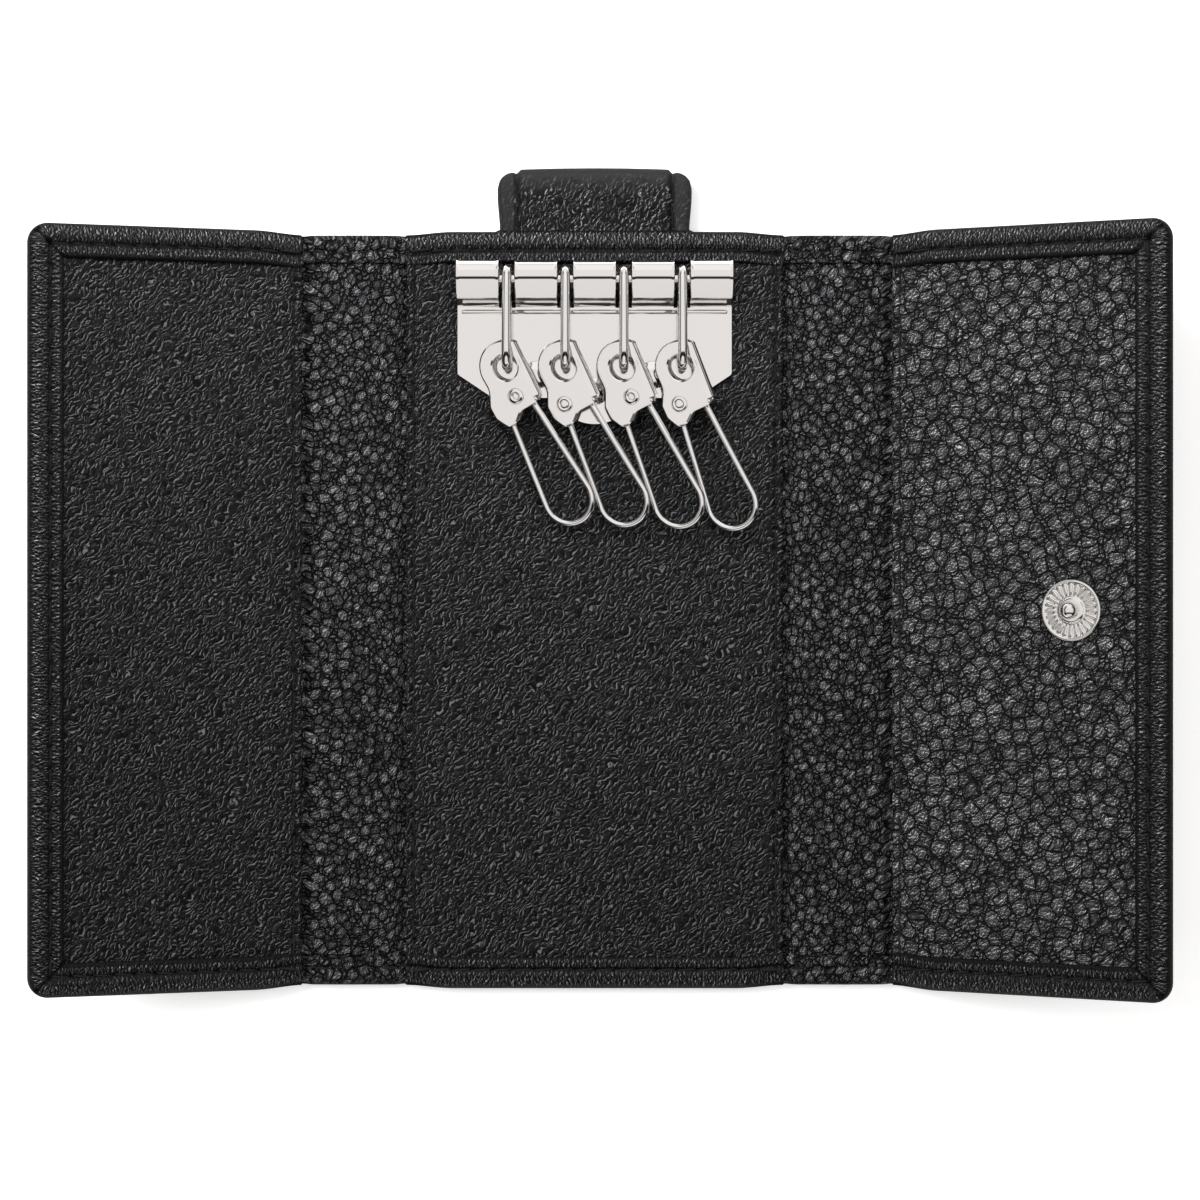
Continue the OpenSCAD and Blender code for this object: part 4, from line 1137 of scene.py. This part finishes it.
def gussetSurface(low, high, width, tilt):
    v, s = gussetValues, leatherSizes
    half = halfHeight - v["drawIn"]
    section = gussetSection(half, foldHeight + v["rimRise"])
    x, y = np.meshgrid(np.linspace(low, high, int((high - low) / s["step"]) + 2), section[0], indexing="ij")
    z, rim, depth = (np.broadcast_to(row, x.shape) for row in section[1:])
    seamY = half - s["stitchInset"] * v["hem"] / s["hemWidth"]
    seams = [seamLine((v["seamEnd"], sign * seamY), (width - v["seamEnd"], sign * seamY)) for sign in (-1, 1)]
    onTop = smoothStep(z, foldHeight * v["topShares"][0], foldHeight * v["topShares"][1])
    z = z - onTop * rim * (seamDrop(x, y, seams) - v["rimRipple"][0] * ripple(x, y, v["rimRipple"][1]))
    ends = smoothStep(half - np.abs(y), v["hem"] * v["endRange"][0], v["hem"] * v["endRange"][1])
    full = v["endShare"] + (1 - v["endShare"]) * ends
    swell = v["bulge"] * np.sin(math.pi * np.clip(x / width, 0, 1)) * full
    z = z + onTop * (swell + v["ripple"][0] * ripple(x, y, v["ripple"][1]))
    crease = bellShape(x, v["creaseReach"]) + bellShape(x - width, v["creaseReach"])
    z = z - onTop * crease * v["creaseDepth"]
    y = y - np.sign(y) * v["pinch"] * crease * rim
    turn = math.radians(tilt) * smoothStep(x, width - v["reach"], width + v["reach"])
    dx, dz = x - width, z - foldHeight
    x, z = width + dx * np.cos(turn) - dz * np.sin(turn), foldHeight + dx * np.sin(turn) + dz * np.cos(turn)
    marks = np.stack([x + v["rimShift"] * (y > 0), depth, rim], -1)
    return gridSurface(np.stack([x, y, z], -1), 0, closed=True, marks=marks, middle=1.0), seams


def buildGusset(side, tilt):
    v = gussetValues
    sign = -1 if side == "left" else 1
    spine, flap = side + "_spine", side + "_flap"
    innerX, outerX = foldPlaces[side + "_gusset"], foldPlaces[flap]
    width, reach = abs(outerX - innerX), v["reach"]
    place = panelPlace(sign, innerX, 0)
    halves = (("Inner", -reach, width / 2, innerX, ("root", spine)),
              ("Outer", width / 2, width + reach, outerX, (spine, flap)))
    for part, low, high, foldX, pair in halves:
        surface, seams = gussetSurface(low, high, width, tilt)
        piece = addPiece(side + "Gusset" + part, [surface], [gussetLeather], place, sign < 0)
        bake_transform(piece)
        if part == "Inner":
            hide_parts(spine + "_cover", spine + "_lining")
    height = foldHeight + v["rimRise"] - v["threadDepth"]
    rideOn(spine, "fine_leather", addThread(side + "GussetThread", [(seams, height)], seams, place, sign < 0))


for side, size in flapSizes.items():
    buildGusset(side, size["tilt"])
print("gussets ready")


# Hardware helpers

hardwareValues = {
    "wireSides": 20, "endTurns": (80, 60, 35), "endShare": 0.5,  # the rounded ends of a wire
    "sheetShare": 0.97, "weld": 0.002, "bevelSteps": 3, "bevelTurn": 40,
}
slotMetals = {"plated_wire": wireMetal, "plated_sheet": plateMetal, "snap_metal": snapMetal}


def unit(v):
    return v / np.linalg.norm(v)


def ballRadius(half, rise):  # of the ball that a low dome is cut from
    return (half ** 2 + rise ** 2) / (2 * rise)


def bothSides(profile):  # radius and height, then the same back again below
    return profile + [(radius, -height) for radius, height in profile[::-1]]


def arcPoints(centre, radius, low, high, steps):
    turns = np.radians(np.linspace(low, high, steps + 1))
    return [(centre[0] + radius * math.cos(a), centre[1] + radius * math.sin(a)) for a in turns]


def roundCorners(corners, steps=6):  # corners are x, y and the radius there
    outline = []
    for k, (x, y, radius) in enumerate(corners):
        b = np.array((x, y))
        if not radius:
            outline.append((x, y))
            continue
        toLast = unit(np.array(corners[k - 1][:2]) - b)
        toNext = unit(np.array(corners[(k + 1) % len(corners)][:2]) - b)
        half = math.acos(np.dot(toLast, toNext)) / 2
        centre = b + unit(toLast + toNext) * radius / math.sin(half)
        p, q = (b + way * radius / math.tan(half) - centre for way in (toLast, toNext))
        low = math.degrees(math.atan2(p[1], p[0]))
        turn = math.degrees(math.atan2(p[0] * q[1] - p[1] * q[0], np.dot(p, q)))
        outline += arcPoints(centre, radius, low, low + turn, steps)
    return outline


def tubeSurface(path, radius, closed=False):  # a path in the plane z = 0
    v = hardwareValues
    path = np.array([(x, y, 0.0) for x, y in path])
    if closed:
        ways = np.roll(path, -1, 0) - np.roll(path, 1, 0)
    else:
        ways = np.gradient(path, axis=0)
        ways[0], ways[-1] = path[1] - path[0], path[-1] - path[-2]
    ways /= np.linalg.norm(ways, axis=1)[:, None]
    fat = np.full(len(path), radius)
    if closed:
        path, ways, fat = (np.concatenate([row, row[:1]]) for row in (path, ways, fat))
    else:
        lift = np.radians(v["endTurns"])
        back = lift[::-1]
        first = path[0] - np.outer(np.sin(lift), ways[0]) * radius * v["endShare"]
        last = path[-1] + np.outer(np.sin(back), ways[-1]) * radius * v["endShare"]
        count = len(lift) + 1
        path = np.vstack([first[:1], first, path, last, last[-1:]])
        ways = np.vstack([[ways[0]] * count, ways, [ways[-1]] * count])
        fat = np.concatenate([[0], radius * np.cos(lift), fat, radius * np.cos(back), [0]])
    side = np.column_stack([ways[:, 1], -ways[:, 0], 0 * ways[:, 0]])
    turns = np.linspace(0, 2 * math.pi, v["wireSides"], endpoint=False)[None, :, None]
    out = side[:, None] * np.cos(turns) + np.array([0, 0, 1.0]) * np.sin(turns)
    return gridSurface(path[:, None] + out * fat[:, None, None], closed=True)


def turnedSurface(profile, segments, centre=(0, 0, 0), wave=None):  # profile is radius and height
    profile = np.array(profile, float)
    turns = np.linspace(0, 2 * math.pi, segments, endpoint=False)
    radius, height = profile[:, :1] + 0 * turns, profile[:, 1:] + 0 * turns
    if wave:
        height = height + wave(radius, turns)
    points = np.stack([radius * np.cos(turns), radius * np.sin(turns), height], -1)
    return gridSurface(points + np.array(centre), closed=True)


def framePlace(origin, across, along, up):
    def place(p):
        return origin + p[:, :1] * across + p[:, 1:2] * along + p[:, 2:] * up
    return place


def addHardware(name, surfaces, body, slot, node, place=None):  # a solid piece that stands for one node
    piece = addPiece(name, surfaces, [slotMetals[slot]], place, solid=True)
    rideOn(body, slot, piece)
    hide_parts(node)


# Sheet metal: a surface given its thickness inwards, its edges broken
def addSheetPiece(name, work, thickness, edge, up, crisp=None):
    v = hardwareValues
    bmesh.ops.remove_doubles(work, verts=work.verts, dist=v["weld"])
    bmesh.ops.recalc_face_normals(work, faces=work.faces)
    work.normal_update()
    if sum(face.normal.dot(up(face.calc_center_median())) * face.calc_area() for face in work.faces) < 0:
        bmesh.ops.reverse_faces(work, faces=work.faces)
    for face in work.faces:
        face.smooth = True
    for line in work.edges:
        line.smooth = not crisp or line.calc_face_angle(0) < crisp
    mesh = bpy.data.meshes.new(name)
    work.to_mesh(mesh)
    work.free()
    mesh.materials.append(plateMetal)
    piece = linkPiece(name, mesh)
    solidify = piece.modifiers.new("thickness", "SOLIDIFY")
    solidify.thickness = thickness * v["sheetShare"]
    solidify.offset = -1
    bevel = piece.modifiers.new("brokenEdge", "BEVEL")
    bevel.width = edge
    bevel.segments = v["bevelSteps"]
    bevel.limit_method = "ANGLE"
    bevel.angle_limit = math.radians(v["bevelTurn"])
    piece.modifiers.new("evenNormals", "WEIGHTED_NORMAL").keep_sharp = True
    return piece


def fillOutline(work, outline, holes, height):
    edges = []
    for loop in [outline] + holes:
        verts = [work.verts.new((x, y, height)) for x, y in loop]
        edges += [work.edges.new((verts[k - 1], verts[k])) for k in range(len(verts))]
    bmesh.ops.triangle_fill(work, use_beauty=True, edges=edges)


def addStrip(work, rows, joined=None):  # faces between rows of points, which may meet where joined is set
    grid = [[work.verts.new(p) for p in row] for row in rows]
    for upper, lower in zip(grid, grid[1:]):
        for k, (a, b, c, d) in enumerate(zip(upper, upper[1:], lower[1:], lower)):
            here, after = (joined[k], joined[k + 1]) if joined else (False, False)
            if here and after:
                continue
            work.faces.new((a, b, c) if here else (a, b, d) if after else (a, b, c, d))


def drawIn(loop, reach, held=None):  # a loop moved sideways, to its right by reach
    loop = np.array(loop, float)
    ways = np.roll(loop, -1, 0) - np.roll(loop, 1, 0)
    ways /= np.linalg.norm(ways, axis=1)[:, None]
    moved = loop + reach * np.column_stack([ways[:, 1], -ways[:, 0]])
    if held:
        moved[held] = loop[held]
    return [tuple(p) for p in moved]


def settle(piece, place):  # from a part's own frame in millimetres to the case's in metres
    points = np.array([v.co for v in piece.data.vertices])
    piece.data.vertices.foreach_set("co", (place(points) * mm).astype(np.float32).ravel())
    for modifier in piece.modifiers:
        if modifier.type == "SOLIDIFY":
            modifier.thickness *= mm
        elif modifier.type == "BEVEL":
            modifier.width *= mm
    piece.data.update()


# Hook plate: one sheet that rises in a step and curls over the rod in five barrels

plateValues = {
    "thickness": 0.6, "curl": 2.0, "curlSteps": 40, "curlEnd": -150, "foot": 4.5, "head": 3.5, "flatTop": 0.6,
    "footBend": ((0, 0), (0.1, 0.08), (0.2, 0.5)), "headBend": ((-0.14, -0.4), (0, -0.05)),
    "lip": 0.14, "lipReach": 0.28, "lipPlaces": (0, 0.15, 0.35, 0.6, 0.9), "slot": 2.45, "slotFoot": 0.2,
    "drop": 18.1, "side": 14.6, "chamferShare": 1.5, "corner": 0.6, "edge": 0.12,
    "lobe": 6.5, "lobeRise": 2.6, "lobeSteps": 30, "bead": 0.4, "beadSunk": 0.55,  # share of its radius let in
    "rivetHead": 4.2, "rivetRise": 0.6, "rivetInsets": (3.4, 1.0, 3.4), "rivetSteps": 12, "rivetSides": 48,
    "rivetShort": 1.5, "rivetFoot": (0.02, -0.05),  # degrees that the dome stops short, its edge's heights
}
rodPlace = np.array(joints["link_swing_1"]["pos_m"]) / mm
hookPlaces = [joints[f"link_swing_{i}"]["pos_m"][0] / mm for i in range(1, 5)]
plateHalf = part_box("hook_plate")[1].x / mm
plateTop = innerHeight + plateValues["thickness"]
barrelY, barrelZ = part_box("hook_plate")[1].y / mm - plateValues["curl"], rodPlace[2]
barrelStarts = [-plateHalf] + [x + plateValues["slot"] / 2 for x in hookPlaces]
barrelEnds = [x - plateValues["slot"] / 2 for x in hookPlaces] + [plateHalf]


def barrelPath():  # along the sheet's outer face, in y and z
    v = plateValues
    turn = math.degrees(math.asin(v["curl"] / v["head"]))
    bend = around(barrelY - v["foot"], plateTop, v["footBend"])
    bend += around(barrelY - v["head"], barrelZ, v["headBend"])
    return bend + arcPoints((barrelY, barrelZ), v["curl"], 90 + turn, v["curlEnd"], v["curlSteps"]), len(bend)


def plateOutline(foot):
    v = plateValues
    low, side = barrelY - v["drop"], barrelY - v["side"]
    chamfer = (v["drop"] - v["side"]) * v["chamferShare"]
    lobeHalf = math.sqrt(v["lobe"] ** 2 - v["lobeRise"] ** 2)
    lobeTurn = math.degrees(math.atan2(-v["lobeRise"], -lobeHalf)) % 360
    rim = [(-plateHalf, foot, 0), (-plateHalf, side, v["corner"]), (-plateHalf + chamfer, low, v["corner"]),
           (-lobeHalf, low, 0)]
    outline = roundCorners(rim)
    outline += arcPoints((0, low + v["lobeRise"]), v["lobe"], lobeTurn, 540 - lobeTurn, v["lobeSteps"])[1:-1]
    outline += roundCorners([(-x, y, radius) for x, y, radius in rim[::-1]])
    for end, start in list(zip(barrelEnds, barrelStarts[1:]))[::-1]:
        outline += [(start, foot), (start, foot - v["slotFoot"]), (end, foot - v["slotFoot"]), (end, foot)]
    return outline


def addBarrels(work):  # each barrel's sheet, with a slight lip where it is cut
    v = plateValues
    path, bendCount = barrelPath()
    ways = np.gradient(np.array(path), axis=0)
    outward = np.column_stack([-ways[:, 1], ways[:, 0]]) / np.linalg.norm(ways, axis=1)[:, None]
    inset = np.array(v["lipPlaces"])
    for low, high in zip(barrelStarts, barrelEnds):
        xs = np.concatenate([low + inset, high - inset[::-1]])
        flare = v["lip"] * bellShape(np.minimum(xs - low, high - xs), v["lipReach"])
        addStrip(work, [[(x, *(p + n * f * (k >= bendCount))) for x, f in zip(xs, flare)]
                        for k, (p, n) in enumerate(zip(path, outward))])


def buildPlate():
    v = plateValues
    foot = barrelY - v["foot"]
    work = bmesh.new()
    fillOutline(work, plateOutline(foot), [], plateTop)
    addBarrels(work)

    def up(c):
        onCurl = c.z > plateTop + v["flatTop"]
        return Vector((0, c.y - barrelY, c.z - barrelZ)) if onCurl else Vector((0, 0, 1))
    piece = addSheetPiece("hookPlateSheet", work, v["thickness"], v["edge"], up)
    settle(piece, lambda p: p)
    beadY, beadEnd = foot - 2 * v["bead"], plateHalf - 2 * v["bead"]
    bead = tubeSurface([(-beadEnd, beadY), (beadEnd, beadY)], v["bead"])
    bead["points"] = bead["points"] + np.array([0, 0, plateTop - v["bead"] * v["beadSunk"]])
    beadPiece = addPiece("hookPlateBead", [bead], [plateMetal], solid=True)
    rideOn("root", "plated_sheet", piece, beadPiece)
    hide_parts("hook_plate")


def buildPlateRivets():
    v = plateValues
    half, rise = v["rivetHead"] / 2, v["rivetRise"]
    ball = ballRadius(half, rise)
    end = 90 - math.degrees(math.asin(half / ball)) + v["rivetShort"]
    dome = [(0.0, rise)] + arcPoints((0, rise - ball), ball, 90, end, v["rivetSteps"])[1:]
    dome += [(half, height) for height in v["rivetFoot"]] + [(0.0, v["rivetFoot"][1])]
    pitch = hookPlaces[1] - hookPlaces[0]
    low = barrelY - v["drop"]
    heads = [turnedSurface(dome, v["rivetSides"], ((k - 1) * pitch, low + inset, plateTop))
             for k, inset in enumerate(v["rivetInsets"])]
    addHardware("plateRivetHeads", heads, "root", "plated_wire", "plate_rivets")


buildPlate()
buildPlateRivets()
print("plate ready")


# Links: a wire pear that hangs on the rod

linkValues = {
    "wire": 1.4, "length": 12.95, "tilt": 2,
    "rodRadius": 0.75, "rodSteps": 24, "eyeRadius": 2.2, "eyeSteps": 28,
}


def buildLink(i):
    v = linkValues
    rodBend, eyeBend = v["rodRadius"] + v["wire"] / 2, v["eyeRadius"] + v["wire"] / 2
    reach = v["length"] - eyeBend
    flare = math.degrees(math.asin((eyeBend - rodBend) / reach))
    path = arcPoints((0, 0), rodBend, flare, 180 - flare, v["rodSteps"])
    path += arcPoints((0, -reach), eyeBend, 180 - flare, 360 + flare, v["eyeSteps"])
    turn = math.radians(v["tilt"])
    place = framePlace(np.array(joints[f"link_swing_{i}"]["pos_m"]) / mm,
                       np.array([0, -math.sin(turn), -math.cos(turn)]),
                       np.array([0, math.cos(turn), -math.sin(turn)]), np.array([1.0, 0, 0]))
    wire = tubeSurface(path, v["wire"] / 2, closed=True)
    addHardware(f"linkWire{i}", [wire], f"link_{i}", "plated_wire", f"link_{i}", place)


# Hooks: two leaves folded from one sheet, a rivet, and a wire loop

hookValues = {
    "leaf": 0.4, "gap": 1.2, "side": 3.15, "bulge": 4.9, "neck": 8.4, "shoulder": 6.9,
    "eye": 4.0, "eyeSteps": 40, "eyeEnd": 4.0, "endSteps": 24, "foldSteps": 13,
    "edge": 0.08, "rolled": 0.22, "rolledDrop": 0.12, "crisp": 20,
    # leaf outline from the shoulder round the neck to the waist: x, y and the radius of each corner
    "outline": ((2.7, -6.0, 0.4), (2.1, -6.6, 0.8), (-0.7, -6.8, 1.4), (-2.2, -8.15, 0.6), (-3.7, -8.2, 0.7),
                (-4.85, -6.4, 1.5), (-4.95, -4.4, 1.6), (-3.85, -2.1, 3.0)),
    "wire": 0.9, "loopRadius": 3.7, "loopReach": 21.6, "loopSteps": 36,
    "tipShare": 0.62, "gateShares": (0.4, 0.9),  # of the bulge, and of the side and shoulder
    "pin": ((0, 0.55), (0.38, 0.55), (0.45, 0.48)), "pinSides": 24,
}
rivetValues = {
    "head": 2.5, "rise": 0.22, "sides": 40, "tuck": 0.03, "smoothSteps": 2,
    # where it sits, then its face: out from the bore and in from the edge, each with its share of the rise
    "tubular": {"across": 0.4, "neckShare": 0.54, "bore": 0.4, "inner": ((0.06, 0.6), (0.25, 1.0)),
                "outer": ((-0.35, 0.85), (-0.08, 0.35))},
    "flat": {"across": 2.205, "neckShare": 0.6, "bore": 0,
             "inner": ((0, 0.8), (0.5, 0.8), (0.62, 0.62), (0.75, 0.8)),
             "outer": ((-0.25, 0.75), (-0.06, 0.4))},
}


def gatePlace():  # where the wire's gate end turns, in the hook's own frame
    v = hookValues
    return np.array((v["side"] * v["gateShares"][0], -v["shoulder"] * v["gateShares"][1]))


def hookPlace(i):  # the eye is the origin, and the loop hangs towards -y
    eye, gate = (np.array(joints[f"{name}_swing_{i}"]["pos_m"]) / mm for name in ("hook", "gate"))
    up = -unit(np.array(joints[f"hook_swing_{i}"]["axis"]))
    a, b = gatePlace()
    reach, turned = gate - eye, np.cross(up, gate - eye)
    size = a * a + b * b
    return framePlace(eye, (a * reach - b * turned) / size, (b * reach + a * turned) / size, up)


def leafOutline(fold):
    v = hookValues
    top = math.degrees(math.acos(fold / v["eyeEnd"]))
    corners = [(fold, v["eyeEnd"] * math.sin(math.radians(top)), 0), (fold, -v["shoulder"] + v["gap"], 0)]
    outline = roundCorners(corners + list(v["outline"]) + [(-v["eyeEnd"], 0, 0)])
    return outline + arcPoints((0, 0), v["eyeEnd"], 180, top, v["endSteps"])[1:-1]


def addLeaf(work, fold, height, sign):  # one leaf, with rolled edges except along the fold
    v = hookValues
    outline = leafOutline(fold)
    eye = arcPoints((0, 0), v["eye"] / 2, 0, 360, v["eyeSteps"])[:-1]
    onFold = [abs(x - fold) < 0.001 for x, y in outline]
    fillOutline(work, drawIn(outline, v["rolled"], onFold), [drawIn(eye, v["rolled"])], sign * height)
    for loop, held in ((outline, onFold), (eye, None)):
        low = sign * (height - v["rolledDrop"])
        outer = [(x, y, sign * height if held and held[k] else low) for k, (x, y) in enumerate(loop)]
        inner = [(x, y, sign * height) for x, y in drawIn(loop, v["rolled"], held)]
        addStrip(work, [outer + outer[:1], inner + inner[:1]], held and held + held[:1])


def buildHookBody(i):
    v = hookValues
    height = v["gap"] / 2 + v["leaf"]
    fold = v["side"] - height
    work = bmesh.new()
    for sign in (1, -1):
        addLeaf(work, fold, height, sign)
    rows = []
    for a in np.radians(np.linspace(90, -90, v["foldSteps"])):
        x = fold + height * math.cos(a)
        rows.append([(x, y, height * math.sin(a))
                     for y in (math.sqrt(v["eyeEnd"] ** 2 - x * x), -v["shoulder"] + v["gap"])])
    addStrip(work, rows)
    piece = addSheetPiece(f"hookBody{i}", work, v["leaf"], v["edge"],
                          lambda c: Vector((max(0, c.x - fold), 0, c.z)), math.radians(v["crisp"]))
    settle(piece, hookPlace(i))
    rideOn(f"hook_{i}", "plated_sheet", piece)
    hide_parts(f"hook_body_{i}")


def buildHookRivet(i):  # hooks 1 and 3 have a tubular rivet, 2 and 4 a flat one
    v = rivetValues
    shape = v["tubular"] if i % 2 else v["flat"]
    half, bore, rise = v["head"] / 2, shape["bore"], v["rise"]
    face = hookValues["gap"] / 2 + hookValues["leaf"]
    profile = [(bore, -face), (bore, face)] if bore else []
    profile += [(base + reach, face + rise * share) for base, part in ((bore, "inner"), (half, "outer"))
                for reach, share in shape[part]]
    profile.append((half, face - v["tuck"]))
    centre = (-shape["across"], -hookValues["neck"] * shape["neckShare"], 0)
    head = turnedSurface(smoothPath(bothSides(profile), v["smoothSteps"]), v["sides"], centre)
    addHardware(f"hookRivetHead{i}", [head], f"hook_{i}", "plated_wire", f"hook_rivet_{i}", hookPlace(i))


def buildHookWire(i):
    v = hookValues
    gate, loop = gatePlace(), np.array((-v["leaf"], -v["loopReach"]))
    tip = np.array((-v["bulge"] * v["tipShare"], -v["neck"] + v["gap"]))

    def meet(point, side):  # the turn at which a straight length from the point runs into the loop
        away = point - loop
        lean = math.acos(v["loopRadius"] / np.linalg.norm(away))
        return math.degrees(math.atan2(away[1], away[0]) - side * lean)
    bend = arcPoints(loop, v["loopRadius"], meet(tip, -1), meet(gate, 1) + 360, v["loopSteps"])
    wire = tubeSurface([tuple(tip)] + bend + [tuple(gate)], v["wire"] / 2)
    pin = turnedSurface(bothSides(list(v["pin"])), v["pinSides"], (*gate, 0))
    addHardware(f"hookLoop{i}", [wire, pin], f"gate_{i}", "plated_wire", f"hook_wire_{i}", hookPlace(i))


for i in range(1, 5):
    for build in (buildLink, buildHookBody, buildHookRivet, buildHookWire):
        build(i)
print("hooks ready")


# Snap: the stud on the right flap's inner side, its cap on the outer side

studValues = {
    "reachShare": 0.658, "disc": 4.5, "discRise": 0.5, "collar": 1.9, "collarRise": 0.65,
    "ball": 1.3, "ballRise": 1.35, "ballEnd": -33, "ballSteps": 18,
    "ribs": 24, "ribSides": 8, "ribRise": 0.16, "ribSharp": 1.6,
    "ribStart": (0.4, 0.7), "ribEnd": (0.55, 0.8),  # how far from the collar and from the edge they fade
    # radius and height from the collar's top, the collar's edge, its foot, then the disc's edge and underside
    "collarTop": ((1.12, -0.02), (1.5, 0)), "collarEdge": ((-0.15, -0.04), (0, -0.2)),
    "collarFoot": ((0.12, -0.2), (0.35, -0.2)), "ribSpan": (0.55, -0.75), "ribPlaces": 7, "ribDrop": 0.08,
    "discEdge": ((-0.55, -0.14), (-0.42, 0.02), (-0.25, 0.06), (-0.06, -0.05), (0, -0.25)),
    "discFoot": ((-0.05, 0.05), (-0.2, 0)),
}
capValues = {
    "half": 6.0, "rise": 1.3, "turned": 0.35, "steps": 24, "sides": 72,
    "edge": ((-0.12, -0.3), (0, -0.16), (-0.03, -0.04), (-0.2, 0)),
}


def studProfile():
    v = studValues
    collar, top, edge, disc = v["collar"], v["collarRise"], v["disc"], v["discRise"]
    profile = arcPoints((0, v["ballRise"]), v["ball"], 90, v["ballEnd"], v["ballSteps"])
    profile += around(0, top, v["collarTop"]) + around(collar, top, v["collarEdge"])
    profile += around(collar, disc, v["collarFoot"])
    span = np.linspace(collar + v["ribSpan"][0], edge + v["ribSpan"][1], v["ribPlaces"])
    profile += [(radius, disc - v["ribDrop"]) for radius in span]
    return profile + around(edge, disc, v["discEdge"]) + around(edge, 0, v["discFoot"]) + [(0, 0)]


def buildStud():
    v, size = studValues, flapSizes["right"]
    place = panelPlace(1, foldPlaces["right_flap"], size["tilt"])
    x = size["width"] * v["reachShare"]

    def ribs(radius, turns):
        within = smoothStep(radius, v["collar"] + v["ribStart"][0], v["collar"] + v["ribStart"][1])
        within = within * smoothStep(-radius, -v["disc"] + v["ribEnd"][0], -v["disc"] + v["ribEnd"][1])
        return v["ribRise"] * within * np.clip(np.cos(turns * v["ribs"]) * v["ribSharp"], -1, 1)
    stud = turnedSurface(studProfile(), v["ribs"] * v["ribSides"], (x, 0, innerHeight), ribs)
    addHardware("studFace", [stud], "right_flap", "snap_metal", "snap_stud", place)
    v = capValues
    half, rise = v["half"], v["rise"]
    ball = ballRadius(half, rise)
    turn = math.degrees(math.asin((half - v["turned"]) / ball))
    dome = [(0, -rise)] + arcPoints((0, ball - rise), ball, -90, -90 + turn, v["steps"])[1:]
    dome += around(half, 0, v["edge"]) + [(0, 0)]
    cap = turnedSurface(dome, v["sides"], (x, 0, 0))
    addHardware("capDome", [cap], "right_flap", "snap_metal", "stud_cap", place)


buildStud()
print("snap ready")
